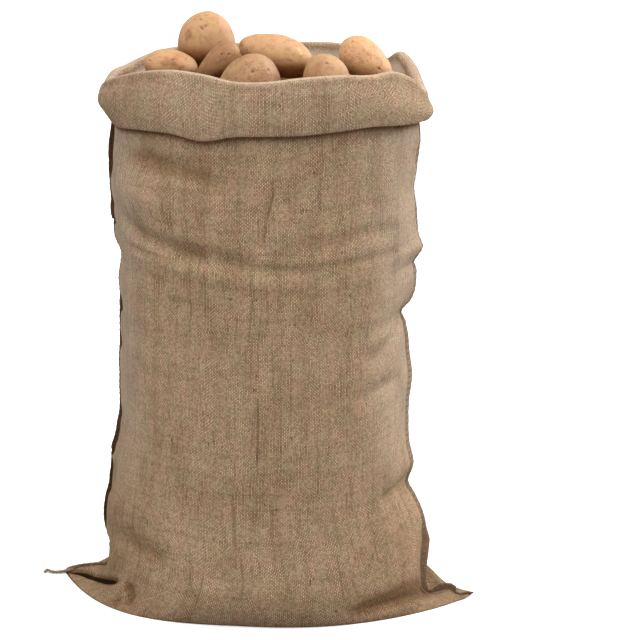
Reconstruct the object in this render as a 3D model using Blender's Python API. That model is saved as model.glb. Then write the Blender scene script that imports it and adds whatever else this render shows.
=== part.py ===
"""A full hessian sack that stands on its folded bottom, with its mouth turned down into a cuff.

One length of cloth is folded across its middle and sewn up both edges. The fold is the bottom,
and its two ends stay empty and stick out as flat ears. The doubled edges stand out along the
sides as a narrow seam. Potatoes fill the sack and heap up in the mouth.

Units are metres. +Z is up, the front faces -Y, the side seams lie towards -X and +X, and the
origin is on the floor under the middle of the sack. "Left" and "right" are seen from the front.
"""

import math
from collections import namedtuple

import bmesh
import bpy
import numpy as np
from mathutils import Euler, Vector, noise

# Sizes of the cloth.
CLOTH = 0.002
SEAM_THICKNESS = 0.0034
PANEL_WIDTH = 0.58

# Heights at which the sack changes from one kind of shape to the next.
BASE_TOP = 0.070
NECK = 0.645
SECTION_TOP = 0.750

# How the solids are divided.
PANEL_STEPS = 20
SEAM_CROWDING = 0.5
CURVE_SAMPLES = 181
UNDER_CUFF_ROWS = 3
FOLD_ROWS = 4
CUFF_ROWS = 5
POTATO_SUBDIVISIONS = 3
BED_SUBDIVISIONS = 3

# Room between the filling and the cloth, and between a potato and its bed, and how high the
# hidden filling reaches.
SEAT_GAP = 0.0005
BASE_GAP = 0.0040
BED_GROW = 0.0004
FILL_TOP = 0.676

# The cloth near the floor: how high its two faces lie at least, and how far its inside fold
# is drawn in, there and in an ear.
LOWEST_OUTSIDE = 0.3 * CLOTH
LOWEST_INSIDE = 1.3 * CLOTH
FOLD_SETBACK = 2 * CLOTH
EAR_SETBACK = 3 * CLOTH

FRONT, BACK = -1, 1
LEFT, RIGHT = -1, 1

# Half widths and half depths of the filled body, to the outside of the cloth.
Section = namedtuple("Section", "height left right front back")
SECTIONS = (
    Section(0.070, 0.225, 0.221, 0.174, 0.164),
    Section(0.105, 0.225, 0.212, 0.172, 0.165),
    Section(0.150, 0.217, 0.197, 0.171, 0.167),
    Section(0.200, 0.208, 0.192, 0.172, 0.170),
    Section(0.270, 0.197, 0.188, 0.174, 0.172),
    Section(0.340, 0.196, 0.188, 0.174, 0.172),
    Section(0.400, 0.195, 0.189, 0.172, 0.170),
    Section(0.440, 0.195, 0.196, 0.171, 0.169),
    Section(0.480, 0.196, 0.197, 0.170, 0.168),
    Section(0.540, 0.203, 0.199, 0.168, 0.165),
    Section(0.600, 0.206, 0.197, 0.165, 0.162),
    Section(0.650, 0.202, 0.201, 0.161, 0.157),
    Section(0.700, 0.200, 0.199, 0.158, 0.153),
    Section(0.750, 0.199, 0.197, 0.156, 0.151),
)

# Heights of the body's rows of points, close together where the cloth is creased.
BODY_HEIGHTS = (
    0.070, 0.096, 0.124, 0.150, 0.176, 0.210, 0.245, 0.280, 0.306, 0.324, 0.342, 0.362,
    0.380, 0.398, 0.420, 0.448, 0.472, 0.482, 0.492, 0.501, 0.511, 0.521, 0.532, 0.556,
    0.582, 0.606, NECK,
)

# The outline on the floor is a lens whose points are the ears' tips.
Tip = namedtuple("Tip", "x y")
TIPS = {LEFT: Tip(-0.294, -0.002), RIGHT: Tip(0.291, -0.016)}
Foot = namedtuple("Foot", "depth left_fullness left_blunt right_fullness right_blunt")
FOOT = {
    FRONT: Foot(0.163, 3.4, 1.00, 2.3, 0.90),
    BACK: Foot(0.154, 2.4, 1.00, 2.0, 1.00),
}
TIP_BEND = 6

# Rows between the floor and the top of the base, and how the wall rises between them: the
# heights of the two middle points of its curve, upright and where an ear lies before it. The
# first point bulges out, the second one by a share of that, and an ear draws the first one in.
BASE_SHARES = (0.0, 0.08, 0.19, 0.32, 0.46, 0.62, 0.80)
OUTER_RISES = ((0.012, 0.007), (0.045, 0.018))
INNER_RISES = ((0.012, 0.010), (0.043, 0.040))
BASE_BULGE = 0.010
SECOND_BULGE_SHARE = 0.5
EAR_REACH = 0.045
EAR_DRAW_IN = 0.55

# The sewn ridge of each ear, from its tip to the top of the base.
Ridge = namedtuple("Ridge", "share x y z")
RIDGES = {
    LEFT: (
        Ridge(0.00, -0.294, -0.002, 0.0030),
        Ridge(0.10, -0.282, 0.000, 0.0060),
        Ridge(0.22, -0.266, 0.002, 0.0090),
        Ridge(0.36, -0.248, 0.003, 0.0110),
        Ridge(0.52, -0.234, 0.003, 0.0120),
        Ridge(0.74, -0.225, 0.001, 0.0330),
        Ridge(1.00, -0.225, 0.000, BASE_TOP),
    ),
    RIGHT: (
        Ridge(0.00, 0.291, -0.016, 0.0025),
        Ridge(0.10, 0.278, -0.018, 0.0045),
        Ridge(0.22, 0.262, -0.018, 0.0095),
        Ridge(0.36, 0.247, -0.018, 0.0080),
        Ridge(0.52, 0.233, -0.014, 0.0120),
        Ridge(0.74, 0.224, -0.007, 0.0350),
        Ridge(1.00, 0.221, 0.000, BASE_TOP),
    ),
}
RIDGE_REACH = 0.018

# The flat seam that stands out from the side. Lean turns it towards the front, in degrees.
Seam = namedtuple("Seam", "height width lean")
SEAMS = {
    LEFT: (
        Seam(0.000, 0.0040, 0),
        Seam(0.012, 0.0045, 10),
        Seam(0.030, 0.0040, 10),
        Seam(0.070, 0.0085, 4),
        Seam(0.150, 0.0095, -8),
        Seam(0.250, 0.0090, 6),
        Seam(0.350, 0.0095, -6),
        Seam(0.440, 0.0085, 4),
        Seam(0.530, 0.0080, -14),
        Seam(0.600, 0.0095, -4),
        Seam(0.645, 0.0080, 0),
        Seam(0.670, 0.0050, 0),
        Seam(0.690, 0.0015, 0),
        Seam(0.750, 0.0010, 0),
    ),
    RIGHT: (
        Seam(0.000, 0.0030, 0),
        Seam(0.012, 0.0045, 25),
        Seam(0.030, 0.0040, 30),
        Seam(0.070, 0.0085, 30),
        Seam(0.130, 0.0095, 14),
        Seam(0.200, 0.0095, 34),
        Seam(0.300, 0.0095, 20),
        Seam(0.385, 0.0085, 40),
        Seam(0.450, 0.0095, 18),
        Seam(0.530, 0.0085, 30),
        Seam(0.600, 0.0095, 12),
        Seam(0.645, 0.0080, 6),
        Seam(0.670, 0.0050, 0),
        Seam(0.690, 0.0015, 0),
        Seam(0.750, 0.0010, 0),
    ),
}
CUFF_SEAM_RISE = 0.0025
GROOVE_DEPTH = 0.0014
TAIL_REACH = 0.024

# Thickness of a seam's edge and of a groove's floor, as shares of the seam's thickness.
SEAM_EDGE_SHARE = 0.8
GROOVE_SHARE = 0.3

# Where the sewing draws the side in. A negative depth is a bulge.
Pinch = namedtuple("Pinch", "side height depth spread")
PINCHES = (
    Pinch(RIGHT, 0.158, 0.007, 0.014),
    Pinch(RIGHT, 0.371, 0.010, 0.019),
    Pinch(RIGHT, 0.471, 0.003, 0.009),
    Pinch(RIGHT, 0.497, -0.007, 0.012),
    Pinch(RIGHT, 0.575, 0.004, 0.020),
    Pinch(LEFT, 0.475, 0.004, 0.018),
    Pinch(LEFT, 0.530, -0.004, 0.016),
)
PINCH_REACH = 0.055

# Creases and soft dents. Across is measured along the cloth from the panel's middle, and up from
# the floor. Slope is in degrees, upwards to the right. Each fades out towards its two ends.
Crease = namedtuple("Crease", "panel across up length slope width depth")
CREASES = (
    Crease(FRONT, -0.120, 0.514, 0.320, -4, 0.0095, 0.0060),
    Crease(FRONT, 0.150, 0.512, 0.250, 6, 0.0095, 0.0055),
    Crease(FRONT, 0.150, 0.485, 0.240, 0, 0.0085, 0.0040),
    Crease(FRONT, -0.190, 0.486, 0.150, -6, 0.0085, 0.0035),
    Crease(FRONT, -0.175, 0.597, 0.150, -3, 0.0180, 0.0065),
    Crease(FRONT, 0.205, 0.385, 0.115, 13, 0.0120, 0.0065),
    Crease(FRONT, 0.200, 0.322, 0.130, 7, 0.0140, 0.0045),
    Crease(FRONT, -0.200, 0.105, 0.110, -6, 0.0200, 0.0060),
    Crease(FRONT, 0.225, 0.034, 0.120, 0, 0.0110, 0.0080),
    Crease(FRONT, -0.240, 0.026, 0.080, -8, 0.0070, 0.0080),
    Crease(BACK, 0.000, 0.512, 0.560, 0, 0.0095, 0.0055),
    Crease(BACK, -0.150, 0.360, 0.140, -14, 0.0140, 0.0055),
    Crease(BACK, 0.170, 0.300, 0.130, 12, 0.0140, 0.0050),
    Crease(BACK, 0.120, 0.600, 0.160, 4, 0.0180, 0.0060),
    Crease(BACK, 0.225, 0.034, 0.120, 0, 0.0110, 0.0070),
    Crease(BACK, -0.225, 0.034, 0.120, 0, 0.0110, 0.0070),
)
END_FADE = 4

# Heights of the rim and of the cuff's lower edge round the mouth, from the right seam round the
# back, and the radius of the fold over which the mouth is turned down, inside the cloth. The
# angles are measured from the sack's middle.
Edge = namedtuple("Edge", "angle rim hem fold")
EDGES = (
    Edge(0, 0.706, 0.668, 0.0070),
    Edge(5, 0.710, 0.668, 0.0070),
    Edge(11, 0.719, 0.669, 0.0070),
    Edge(18, 0.736, 0.669, 0.0070),
    Edge(25, 0.745, 0.671, 0.0065),
    Edge(33, 0.733, 0.672, 0.0055),
    Edge(42, 0.741, 0.672, 0.0050),
    Edge(53, 0.7455, 0.669, 0.0050),
    Edge(90, 0.745, 0.671, 0.0050),
    Edge(125, 0.743, 0.666, 0.0050),
    Edge(147, 0.740, 0.667, 0.0050),
    Edge(156, 0.734, 0.668, 0.0055),
    Edge(165, 0.7265, 0.670, 0.0065),
    Edge(175, 0.7235, 0.680, 0.0070),
    Edge(180, 0.720, 0.687, 0.0070),
    Edge(185, 0.717, 0.676, 0.0070),
    Edge(190, 0.719, 0.667, 0.0065),
    Edge(200, 0.727, 0.664, 0.0055),
    Edge(218, 0.742, 0.668, 0.0050),
    Edge(235, 0.749, 0.669, 0.0050),
    Edge(250, 0.746, 0.663, 0.0050),
    Edge(264, 0.7385, 0.670, 0.0050),
    Edge(275, 0.7380, 0.671, 0.0050),
    Edge(295, 0.7435, 0.672, 0.0050),
    Edge(310, 0.7445, 0.675, 0.0050),
    Edge(325, 0.7415, 0.677, 0.0055),
    Edge(335, 0.7425, 0.674, 0.0060),
    Edge(345, 0.731, 0.671, 0.0070),
    Edge(354, 0.714, 0.669, 0.0070),
)

# How far the cuff's inner face stands off the wall, from the fold down to the lower edge, and
# how much farther it stands off at the left and right ends of the mouth. It starts at the width
# of the fold and has run over into these values at FOLD_FADE.
Cuff = namedtuple("Cuff", "share offset left right")
CUFF = (
    Cuff(0.0, 0.0110, 0.0035, 0.0030),
    Cuff(0.25, 0.0120, 0.0052, 0.0035),
    Cuff(0.5, 0.0128, 0.0065, 0.0060),
    Cuff(0.75, 0.0122, 0.0032, 0.0070),
    Cuff(1.0, 0.0085, -0.0010, 0.0050),
)
CUFF_END_SHARPNESS = 3
FOLD_FADE = 0.25

# Potatoes: middle, half length, half width and half height, turn and tilt in degrees, and taper.
Potato = namedtuple("Potato", "x y z length width height turn tilt taper")
POTATOES = {
    "potato_top": Potato(-0.0790, 0.0110, 0.7655, 0.0388, 0.0380, 0.0390, 0, -85, -0.11),
    "potato_left": Potato(-0.1185, -0.0445, 0.7397, 0.0350, 0.0330, 0.0212, 8, 7, -0.07),
    "potato_slanted": Potato(-0.0545, -0.0690, 0.7442, 0.0380, 0.0230, 0.0182, 6, -43, 0.31),
    "potato_front": Potato(-0.0055, -0.1120, 0.7245, 0.0413, 0.0380, 0.0400, 0, -11, 0.21),
    "potato_long": Potato(0.0180, -0.0300, 0.7540, 0.0500, 0.0310, 0.0268, -4, 15, 0.13),
    "potato_small": Potato(0.0930, -0.1000, 0.7340, 0.0294, 0.0320, 0.0325, 20, -4, -0.10),
    "potato_pear": Potato(0.1403, -0.0450, 0.7473, 0.0418, 0.0310, 0.0251, -10, 41, -0.22),
    "potato_back_left": Potato(-0.137, 0.042, 0.711, 0.037, 0.032, 0.028, 60, 4, 0.05),
    "potato_back": Potato(-0.068, 0.096, 0.711, 0.040, 0.031, 0.029, 12, -6, 0.06),
    "potato_back_middle": Potato(0.018, 0.094, 0.709, 0.034, 0.036, 0.031, 80, 5, 0.05),
    "potato_back_right": Potato(0.094, 0.074, 0.695, 0.039, 0.030, 0.028, -25, 8, 0.08),
    "potato_right": Potato(0.152, 0.018, 0.7055, 0.034, 0.029, 0.026, 75, 0, 0.04),
    "potato_middle": Potato(-0.0250, 0.0419, 0.7297, 0.035, 0.030, 0.027, 35, -8, 0.05),
    "potato_middle_right": Potato(0.072, 0.000, 0.7155, 0.037, 0.030, 0.028, -15, 0, 0.05),
    "potato_low_left": Potato(-0.148, -0.032, 0.7003, 0.034, 0.024, 0.026, 75, 0, 0.04),
    "potato_low_right": Potato(0.141, -0.070, 0.6946, 0.033, 0.024, 0.027, 38, 0, 0.04),
}
LUMP_DEPTH = 0.03
LUMP_FINENESS = 1.4
LUMP_SEED = Vector((146.0, 102.0, 74.0))

# The heap of hidden potatoes rises towards the middle of the mouth, in rings that stand at
# these shares of the way out from there.
FILL_TOP_ROWS = 2
FILL_COLUMN_STEP = 2
MOUND_RINGS = (0.80, 0.58, 0.34)
MOUND_HEIGHT = 0.056
MOUND_MIDDLE = (-0.020, -0.020)

HESSIAN = ("hessian", (0.42, 0.31, 0.21), 0.95)
POTATO_SKIN = ("potato_skin", (0.60, 0.41, 0.22), 0.60)
HEAP_SKIN = ("heap_skin", (0.42, 0.28, 0.15), 0.75)


def smooth_curve(keys, values, at, period=None):
    """Values of a smooth curve through the keys, at each of the places in `at`."""
    keys, values = np.asarray(keys, float), np.asarray(values, float)
    at = np.asarray(at, float)
    if period:
        keys = np.concatenate([keys[-2:] - period, keys, keys[:2] + period])
        values = np.concatenate([values[-2:], values, values[:2]])
        at = at % period
    slopes = np.gradient(values, keys)
    at = np.clip(at, keys[0], keys[-1])
    k = np.clip(np.searchsorted(keys, at, side="right") - 1, 0, len(keys) - 2)
    gap = keys[k + 1] - keys[k]
    s = (at - keys[k]) / gap
    return (
        values[k] * (1 + 2 * s) * (1 - s) ** 2
        + slopes[k] * gap * s * (1 - s) ** 2
        + values[k + 1] * s**2 * (3 - 2 * s)
        - slopes[k + 1] * gap * s**2 * (1 - s)
    )


def from_table(table, key, name, at, period=None):
    """One column of a table as a smooth function of another column."""
    keys = [getattr(row, key) for row in table]
    values = [getattr(row, name) for row in table]
    return smooth_curve(keys, values, at, period)


def unit(vectors):
    """The vectors at length one."""
    return vectors / np.linalg.norm(vectors, axis=-1, keepdims=True)


def spaced(points, shares):
    """The points at the given shares of a curve's length."""
    lengths = np.concatenate([[0], np.cumsum(np.linalg.norm(np.diff(points, axis=0), axis=1))])
    at = np.asarray(shares) * lengths[-1]
    return np.stack([np.interp(at, lengths, points[:, i]) for i in range(3)], axis=1)


def panel_shares():
    """Shares of a panel's width at which the columns of points stand, closer near the seams."""
    even = np.linspace(0, 1, PANEL_STEPS + 1)
    crowded = (1 - np.cos(np.pi * even)) / 2
    return (1 - SEAM_CROWDING) * even + SEAM_CROWDING * crowded


def seam_distances():
    """Each column's distance along the cloth from the right and from the left seam."""
    from_right = panel_shares() * PANEL_WIDTH
    return {RIGHT: from_right, LEFT: PANEL_WIDTH - from_right}


def body_line(panel, height):
    """A panel's line across the filled body, from the right seam to the left one."""
    left, right, front, back = (
        float(from_table(SECTIONS, "height", name, height)) for name in Section._fields[1:]
    )
    turn = np.linspace(0, np.pi, CURVE_SAMPLES)
    depth = (front if panel == FRONT else back) - SEAM_THICKNESS / 2
    x = np.where(np.cos(turn) > 0, right, left) * np.cos(turn)
    y = panel * (SEAM_THICKNESS / 2 + depth * np.sin(turn))
    line = spaced(np.stack([x, y, np.full_like(x, height)], axis=1), panel_shares())
    for pinch in PINCHES:
        pull = pinch.depth * math.exp(-(((height - pinch.height) / pinch.spread) ** 2))
        weight = np.exp(-((seam_distances()[pinch.side] / PINCH_REACH) ** 2))
        line[:, 0] -= pinch.side * pull * weight
    return line


def foot_line(panel):
    """A panel's line on the floor, from the right ear's tip to the left one's."""
    across = np.cos(np.linspace(0, np.pi, CURVE_SAMPLES))
    foot = FOOT[panel]
    right, left = (
        (1 - np.abs(across) ** fullness) ** blunt
        for fullness, blunt in (foot[3:], foot[1:3])
    )
    depth = np.where(across > 0, right, left) * (foot.depth - SEAM_THICKNESS / 2)
    x = np.abs(across) * np.where(across > 0, TIPS[RIGHT].x, TIPS[LEFT].x)
    y = across**TIP_BEND * np.where(across > 0, TIPS[RIGHT].y, TIPS[LEFT].y)
    y += panel * (SEAM_THICKNESS / 2 + depth)
    return spaced(np.stack([x, y, np.zeros_like(y)], axis=1), panel_shares())


def ear_weights(foot, body):
    """How far each column of a panel belongs to an ear: 0 below the body, 1 out in the ear."""
    outward = ((foot - body) * unit(body * (1, 1, 0))).sum(axis=1, keepdims=True)
    return np.clip(outward / EAR_REACH, 0, 1)


def base_rows(foot, body, ear, rises):
    """Rows of a panel from its line on the floor up to the body. Each column is a cubic curve
    whose two middle points stand at the heights in `rises`, lower where an ear lies."""
    outward = (foot - body) * (1, 1, 0)
    bulge = BASE_BULGE * (1 - ear) * unit(body * (1, 1, 0))
    low, high = (steep + (flat - steep) * ear for steep, flat in rises)
    up = np.array([0, 0, 1.0])
    first = foot - EAR_DRAW_IN * ear * outward + bulge + low * up
    second = body * (1, 1, 0) + SECOND_BULGE_SHARE * bulge + high * up
    rows = []
    for s in BASE_SHARES:
        weights = (1 - s) ** 3, 3 * s * (1 - s) ** 2, 3 * s**2 * (1 - s), s**3
        rows.append(sum(w * p for w, p in zip(weights, (foot, first, second, body))))
    return rows


def on_ridges(row, share):
    """A row of the base with its two ends set on the ears' sewn ridges."""
    moved = row.copy()
    for side, end in ((RIGHT, 0), (LEFT, -1)):
        ridge = [float(from_table(RIDGES[side], "share", name, share)) for name in "xyz"]
        shift = np.array(ridge) - row[end] * (1, 0, 1)
        weight = np.exp(-((seam_distances()[side] / RIDGE_REACH) ** 2))
        moved += weight[:, None] * shift
    return moved


def facing_out(grid, panel):
    """Outward normals of one panel's grid of rows."""
    normals = unit(np.cross(np.gradient(grid, axis=1), np.gradient(grid, axis=0)))
    middle = normals[len(grid) // 2, PANEL_STEPS // 2]
    return normals * np.sign(middle[1] * panel)


def crease_depths(panel, ups):
    """How far the creases press the cloth in, for each row and column of a panel."""
    across, up = np.meshgrid((0.5 - panel_shares()) * PANEL_WIDTH, ups)
    depths = np.zeros_like(across)
    for crease in CREASES:
        if crease.panel == panel:
            c, s = math.cos(math.radians(crease.slope)), math.sin(math.radians(crease.slope))
            along = (across - crease.across) * c + (up - crease.up) * s
            aside = (up - crease.up) * c - (across - crease.across) * s
            fade = np.exp(-((2 * along / crease.length) ** END_FADE))
            depths += crease.depth * fade * np.exp(-((aside / crease.width) ** 2))
    return depths


def side_wall(panel):
    """The outside and the inside of a panel from the floor to the neck, as grids of rows."""
    body = [body_line(panel, height) for height in BODY_HEIGHTS]
    foot = foot_line(panel)
    ear = ear_weights(foot, body[0])
    base = base_rows(foot, body[0], ear, OUTER_RISES)
    base = [foot] + [on_ridges(row, s) for row, s in zip(base[1:], BASE_SHARES[1:])]
    outer = np.array(base + body)
    depths = crease_depths(panel, [s * BASE_TOP for s in BASE_SHARES] + list(BODY_HEIGHTS))
    depths[0] = 0
    outer -= facing_out(outer, panel) * depths[:, :, None]
    outer[1:, :, 2] = np.maximum(outer[1:, :, 2], LOWEST_OUTSIDE)

    inner = outer - facing_out(outer, panel) * CLOTH
    inner_top = inner[len(BASE_SHARES)]
    setback = FOLD_SETBACK + (EAR_SETBACK - FOLD_SETBACK) * ear
    inner_foot = foot + ear * (inner_top - foot) - setback * unit(foot)
    inner_foot[:, 2] = CLOTH
    inner[: len(BASE_SHARES)] = base_rows(inner_foot, inner_top, ear, INNER_RISES)
    lowest = slice(1, len(BASE_SHARES))
    inner[lowest] -= facing_out(inner, panel)[lowest] * depths[lowest, :, None]
    inner[lowest, :, 2] = np.maximum(inner[lowest, :, 2], LOWEST_INSIDE)
    return outer, inner


def collar(panel):
    """The wall above the neck as a function: its outside at any height, and its outward
    direction, which lies level."""
    low, high = body_line(panel, NECK), body_line(panel, SECTION_TOP)
    along = np.gradient(low, axis=0)
    outward = unit(np.stack([along[:, 1], -along[:, 0], np.zeros(len(along))], axis=1))
    outward *= np.sign(outward[PANEL_STEPS // 2, 1] * panel)

    def wall(heights):
        share = (np.asarray(heights) - NECK) / (SECTION_TOP - NECK)
        points = low + (high - low) * share[:, None]
        points[:, 2] = heights
        return points

    return wall, outward


def mouth_rows(panel):
    """The cloth above the neck as rows: up the wall, over the fold, down the inside of the cuff,
    round the hem, up the outside of the cuff, over the fold again and down the inside wall.
    With each row come its outward normals and the height that its seam belongs to."""
    wall, outward = collar(panel)
    up = np.array([0, 0, 1.0])
    plan = wall(np.full(PANEL_STEPS + 1, NECK))
    angles = np.degrees(np.arctan2(plan[:, 1], plan[:, 0]))
    rim, hem, inside = (
        from_table(EDGES, "angle", name, angles, 360) for name in Edge._fields[1:]
    )
    centre = rim - inside - CLOTH
    sideways = np.abs(outward[:, 0]) ** CUFF_END_SHARPNESS

    def cuff_face(share, thickness):
        heights = centre + (hem - centre) * share
        offset, left, right = (
            float(from_table(CUFF, "share", name, share)) for name in Cuff._fields[1:]
        )
        offset = offset + sideways * np.where(outward[:, 0] < 0, left, right)
        folded = (1 + math.cos(math.pi * min(1, share / FOLD_FADE))) / 2
        offset = thickness + folded * 2 * inside + (1 - folded) * offset
        return wall(heights) + outward * offset[:, None]

    def fold(thickness, turn):
        around = -math.cos(turn) * outward + math.sin(turn) * up
        return wall(centre) + outward * inside[:, None] + around * (inside + thickness)[:, None]

    rows, normals = [], []
    for share in np.linspace(0, 1, UNDER_CUFF_ROWS + 1)[1:]:
        rows.append(wall(NECK + (centre - NECK) * share))
        normals.append(outward)
    for turn in np.linspace(0, np.pi, FOLD_ROWS + 1)[1:]:
        rows.append(fold(0, turn))
        normals.append(math.cos(turn) * outward - math.sin(turn) * up)
    for share in np.linspace(0, 1, CUFF_ROWS)[1:]:
        rows.append(cuff_face(share, 0))
        normals.append(-outward)
    for share in np.linspace(1, 0, CUFF_ROWS):
        rows.append(cuff_face(share, CLOTH))
        normals.append(outward)
    for turn in np.linspace(np.pi, 0, FOLD_ROWS + 2)[1:]:
        rows.append(fold(CLOTH, turn))
        normals.append(-math.cos(turn) * outward + math.sin(turn) * up)
    for share in np.linspace(1, 0, UNDER_CUFF_ROWS + 1)[1:-1]:
        rows.append(wall(NECK + (centre - NECK) * share) - outward * CLOTH)
        normals.append(-outward)
    return rows, normals


def seam_pair(front_root, back_root, direction, reach, spread=SEAM_EDGE_SHARE):
    """The front and back points of a seam's edge, beyond the two panels' last points."""
    middle = (front_root + back_root) / 2 + direction * reach
    across = (back_root - front_root) * spread / 2
    return np.array([middle - across, middle + across])


def outer_seam(side, front, back):
    """The edge of a standing seam from the floor to the neck, square to the line it follows."""
    end = 0 if side == RIGHT else -1
    middle = (front[:, end] + back[:, end]) / 2
    climb = unit(np.gradient(middle, axis=0) * (1, 0, 1))
    pairs = []
    for row, tangent in enumerate(climb):
        height = middle[row, 2]
        width = float(from_table(SEAMS[side], "height", "width", height))
        lean = math.radians(float(from_table(SEAMS[side], "height", "lean", height)))
        square = side * np.array([tangent[2], 0, -tangent[0]])
        direction = math.cos(lean) * square + math.sin(lean) * np.array([0, -1.0, 0])
        if row == 0:
            direction, width = np.array([side, 0, 0.0]), (TAIL_REACH if side == LEFT else width)
        pairs.append(seam_pair(front[row, end], back[row, end], direction, width))
    return pairs


def loop(front, back, left_pair=(), right_pair=()):
    """One closed row round the sack: back panel, left seam, front panel, right seam."""
    pieces = [back, left_pair[::-1], front[::-1], right_pair]
    return np.concatenate([piece for piece in pieces if len(piece)])


def add_loops(mesh, loops):
    """Join neighbouring closed rows with triangles, and return the rows' corners. All are split
    the same way, whether the rows run up or down, so that both faces of the cloth stay parallel."""
    rings = [[mesh.verts.new(point) for point in points] for points in loops]
    count = len(rings[0])
    for first, second in zip(rings, rings[1:]):
        low, high = (first, second) if second[0].co.z > first[0].co.z else (second, first)
        for i in range(count):
            j = (i + 1) % count
            mesh.faces.new((low[i], low[j], high[j]))
            mesh.faces.new((low[i], high[j], high[i]))
    return rings


def add_object(name, mesh, material):
    """Turn a mesh into the named object with its own smooth-shaded material."""
    bmesh.ops.recalc_face_normals(mesh, faces=mesh.faces)
    for face in mesh.faces:
        face.smooth = True
    data = bpy.data.meshes.new(name)
    mesh.to_mesh(data)
    mesh.free()
    thing = bpy.data.objects.new(name, data)
    bpy.context.scene.collection.objects.link(thing)
    kind, colour, roughness = material
    skin = bpy.data.materials.new(f"{kind}_{name}")
    skin.use_nodes = True
    shader = skin.node_tree.nodes["Principled BSDF"]
    shader.inputs["Base Color"].default_value = (*colour, 1)
    shader.inputs["Roughness"].default_value = roughness
    shader.inputs["Metallic"].default_value = 0
    data.materials.append(skin)
    return thing


def make_cloth():
    """The whole cloth as one solid: outside, turned-down cuff, inside and both faces below."""
    walls = {panel: side_wall(panel) for panel in (FRONT, BACK)}
    (front, front_in), (back, back_in) = walls[FRONT], walls[BACK]
    left, right = (outer_seam(side, front, back) for side in (LEFT, RIGHT))
    loops = [loop(*row) for row in zip(front, back, left, right)]

    front_rows, front_normals = mouth_rows(FRONT)
    back_rows, back_normals = mouth_rows(BACK)
    hem_row = UNDER_CUFF_ROWS + FOLD_ROWS + CUFF_ROWS - 1
    for i, (front_row, back_row) in enumerate(zip(front_rows, back_rows)):
        pairs = []
        for side, end in ((LEFT, -1), (RIGHT, 0)):
            spread = SEAM_EDGE_SHARE
            if i < UNDER_CUFF_ROWS:
                reach = float(from_table(SEAMS[side], "height", "width", front_row[end, 2]))
            elif i < hem_row:
                reach = CUFF_SEAM_RISE * min(1, (i - UNDER_CUFF_ROWS + 2) / FOLD_ROWS)
            else:
                reach, spread = -GROOVE_DEPTH, GROOVE_SHARE
            direction = unit(front_normals[i][end] + back_normals[i][end])
            pairs.append(seam_pair(front_row[end], back_row[end], direction, reach, spread))
        loops.append(loop(front_row, back_row, *pairs))

    for front_row, back_row in list(zip(front_in, back_in))[::-1]:
        pairs = []
        for side, end in ((LEFT, -1), (RIGHT, 0)):
            outward, roots = np.array([side, 0, 0.0]), (front_row[end], back_row[end])
            pairs.append(seam_pair(*roots, outward, GROOVE_DEPTH, GROOVE_SHARE))
        loops.append(loop(front_row, back_row, *pairs))

    mesh = bmesh.new()
    rings = add_loops(mesh, loops)
    mesh.faces.new(rings[0])
    mesh.faces.new(rings[-1])
    return add_object("sack_cloth", mesh, HESSIAN)


def potato_mesh(potato, subdivisions=POTATO_SUBDIVISIONS, grow=0):
    """A lumpy potato. Grow makes it larger all round, to cut the bed it lies in."""
    mesh = bmesh.new()
    bmesh.ops.create_icosphere(mesh, subdivisions=subdivisions, radius=1)
    seed = LUMP_SEED * Vector((potato.x, potato.y, potato.z))
    turn = Euler((0, math.radians(potato.tilt), math.radians(potato.turn)), "XYZ").to_matrix()
    size = Vector((potato.length, potato.width, potato.height))
    for vert in mesh.verts:
        lump = 1 + LUMP_DEPTH * noise.noise(vert.co * LUMP_FINENESS + seed)
        slim = 1 + potato.taper * vert.co.x
        shaped = Vector((vert.co.x, vert.co.y * slim, vert.co.z * slim)) * lump
        outward = Vector([c / s for c, s in zip(vert.co, size)]).normalized()
        shaped = Vector([c * s for c, s in zip(shaped, size)]) + outward * grow
        vert.co = turn @ shaped + Vector((potato.x, potato.y, potato.z))
    return mesh


def make_fill():
    """The hidden potatoes as one body that fills the cloth, with a bed for each one on top."""
    gaps = np.full((len(BASE_SHARES) + len(BODY_HEIGHTS), 1, 1), SEAT_GAP)
    gaps[: len(BASE_SHARES)] = BASE_GAP
    walls = {panel: side_wall(panel)[1] for panel in (FRONT, BACK)}
    front, back = (inner - facing_out(inner, panel) * gaps for panel, inner in walls.items())
    front[0, :, 2] = back[0, :, 2] = CLOTH + SEAT_GAP
    step = FILL_COLUMN_STEP
    loops = [loop(*row) for row in zip(front[:, ::step], back[:, ::step])]
    for height in np.linspace(NECK, FILL_TOP, FILL_TOP_ROWS + 1)[1:]:
        rows = []
        for panel in (FRONT, BACK):
            wall, outward = collar(panel)
            row = wall(np.full(PANEL_STEPS + 1, height)) - outward * (CLOTH + SEAT_GAP)
            rows.append(row[::step])
        loops.append(loop(*rows))
    edge, middle = loops[-1], np.array([*MOUND_MIDDLE, FILL_TOP])
    for share in MOUND_RINGS:
        ring = middle + (edge - middle) * share
        ring[:, 2] = FILL_TOP + MOUND_HEIGHT * (1 - share**2)
        loops.append(ring)
    mesh = bmesh.new()
    rings = add_loops(mesh, loops)
    mesh.faces.new(rings[0])
    peak = mesh.verts.new((*MOUND_MIDDLE, FILL_TOP + MOUND_HEIGHT))
    for i, corner in enumerate(rings[-1]):
        mesh.faces.new((corner, rings[-1][(i + 1) % len(rings[-1])], peak))
    heap = add_object("potato_heap", mesh, HEAP_SKIN)

    for name, potato in POTATOES.items():
        bed = potato_mesh(potato, BED_SUBDIVISIONS, BED_GROW)
        cutter = add_object(f"bed_{name}", bed, HEAP_SKIN)
        cutter.hide_render = True
        cutter.display_type = "WIRE"
        cut = heap.modifiers.new(name, "BOOLEAN")
        cut.operation = "DIFFERENCE"
        cut.solver = "EXACT"
        cut.object = cutter
    return heap


for leftover in list(bpy.data.objects):
    bpy.data.objects.remove(leftover, do_unlink=True)

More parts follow.
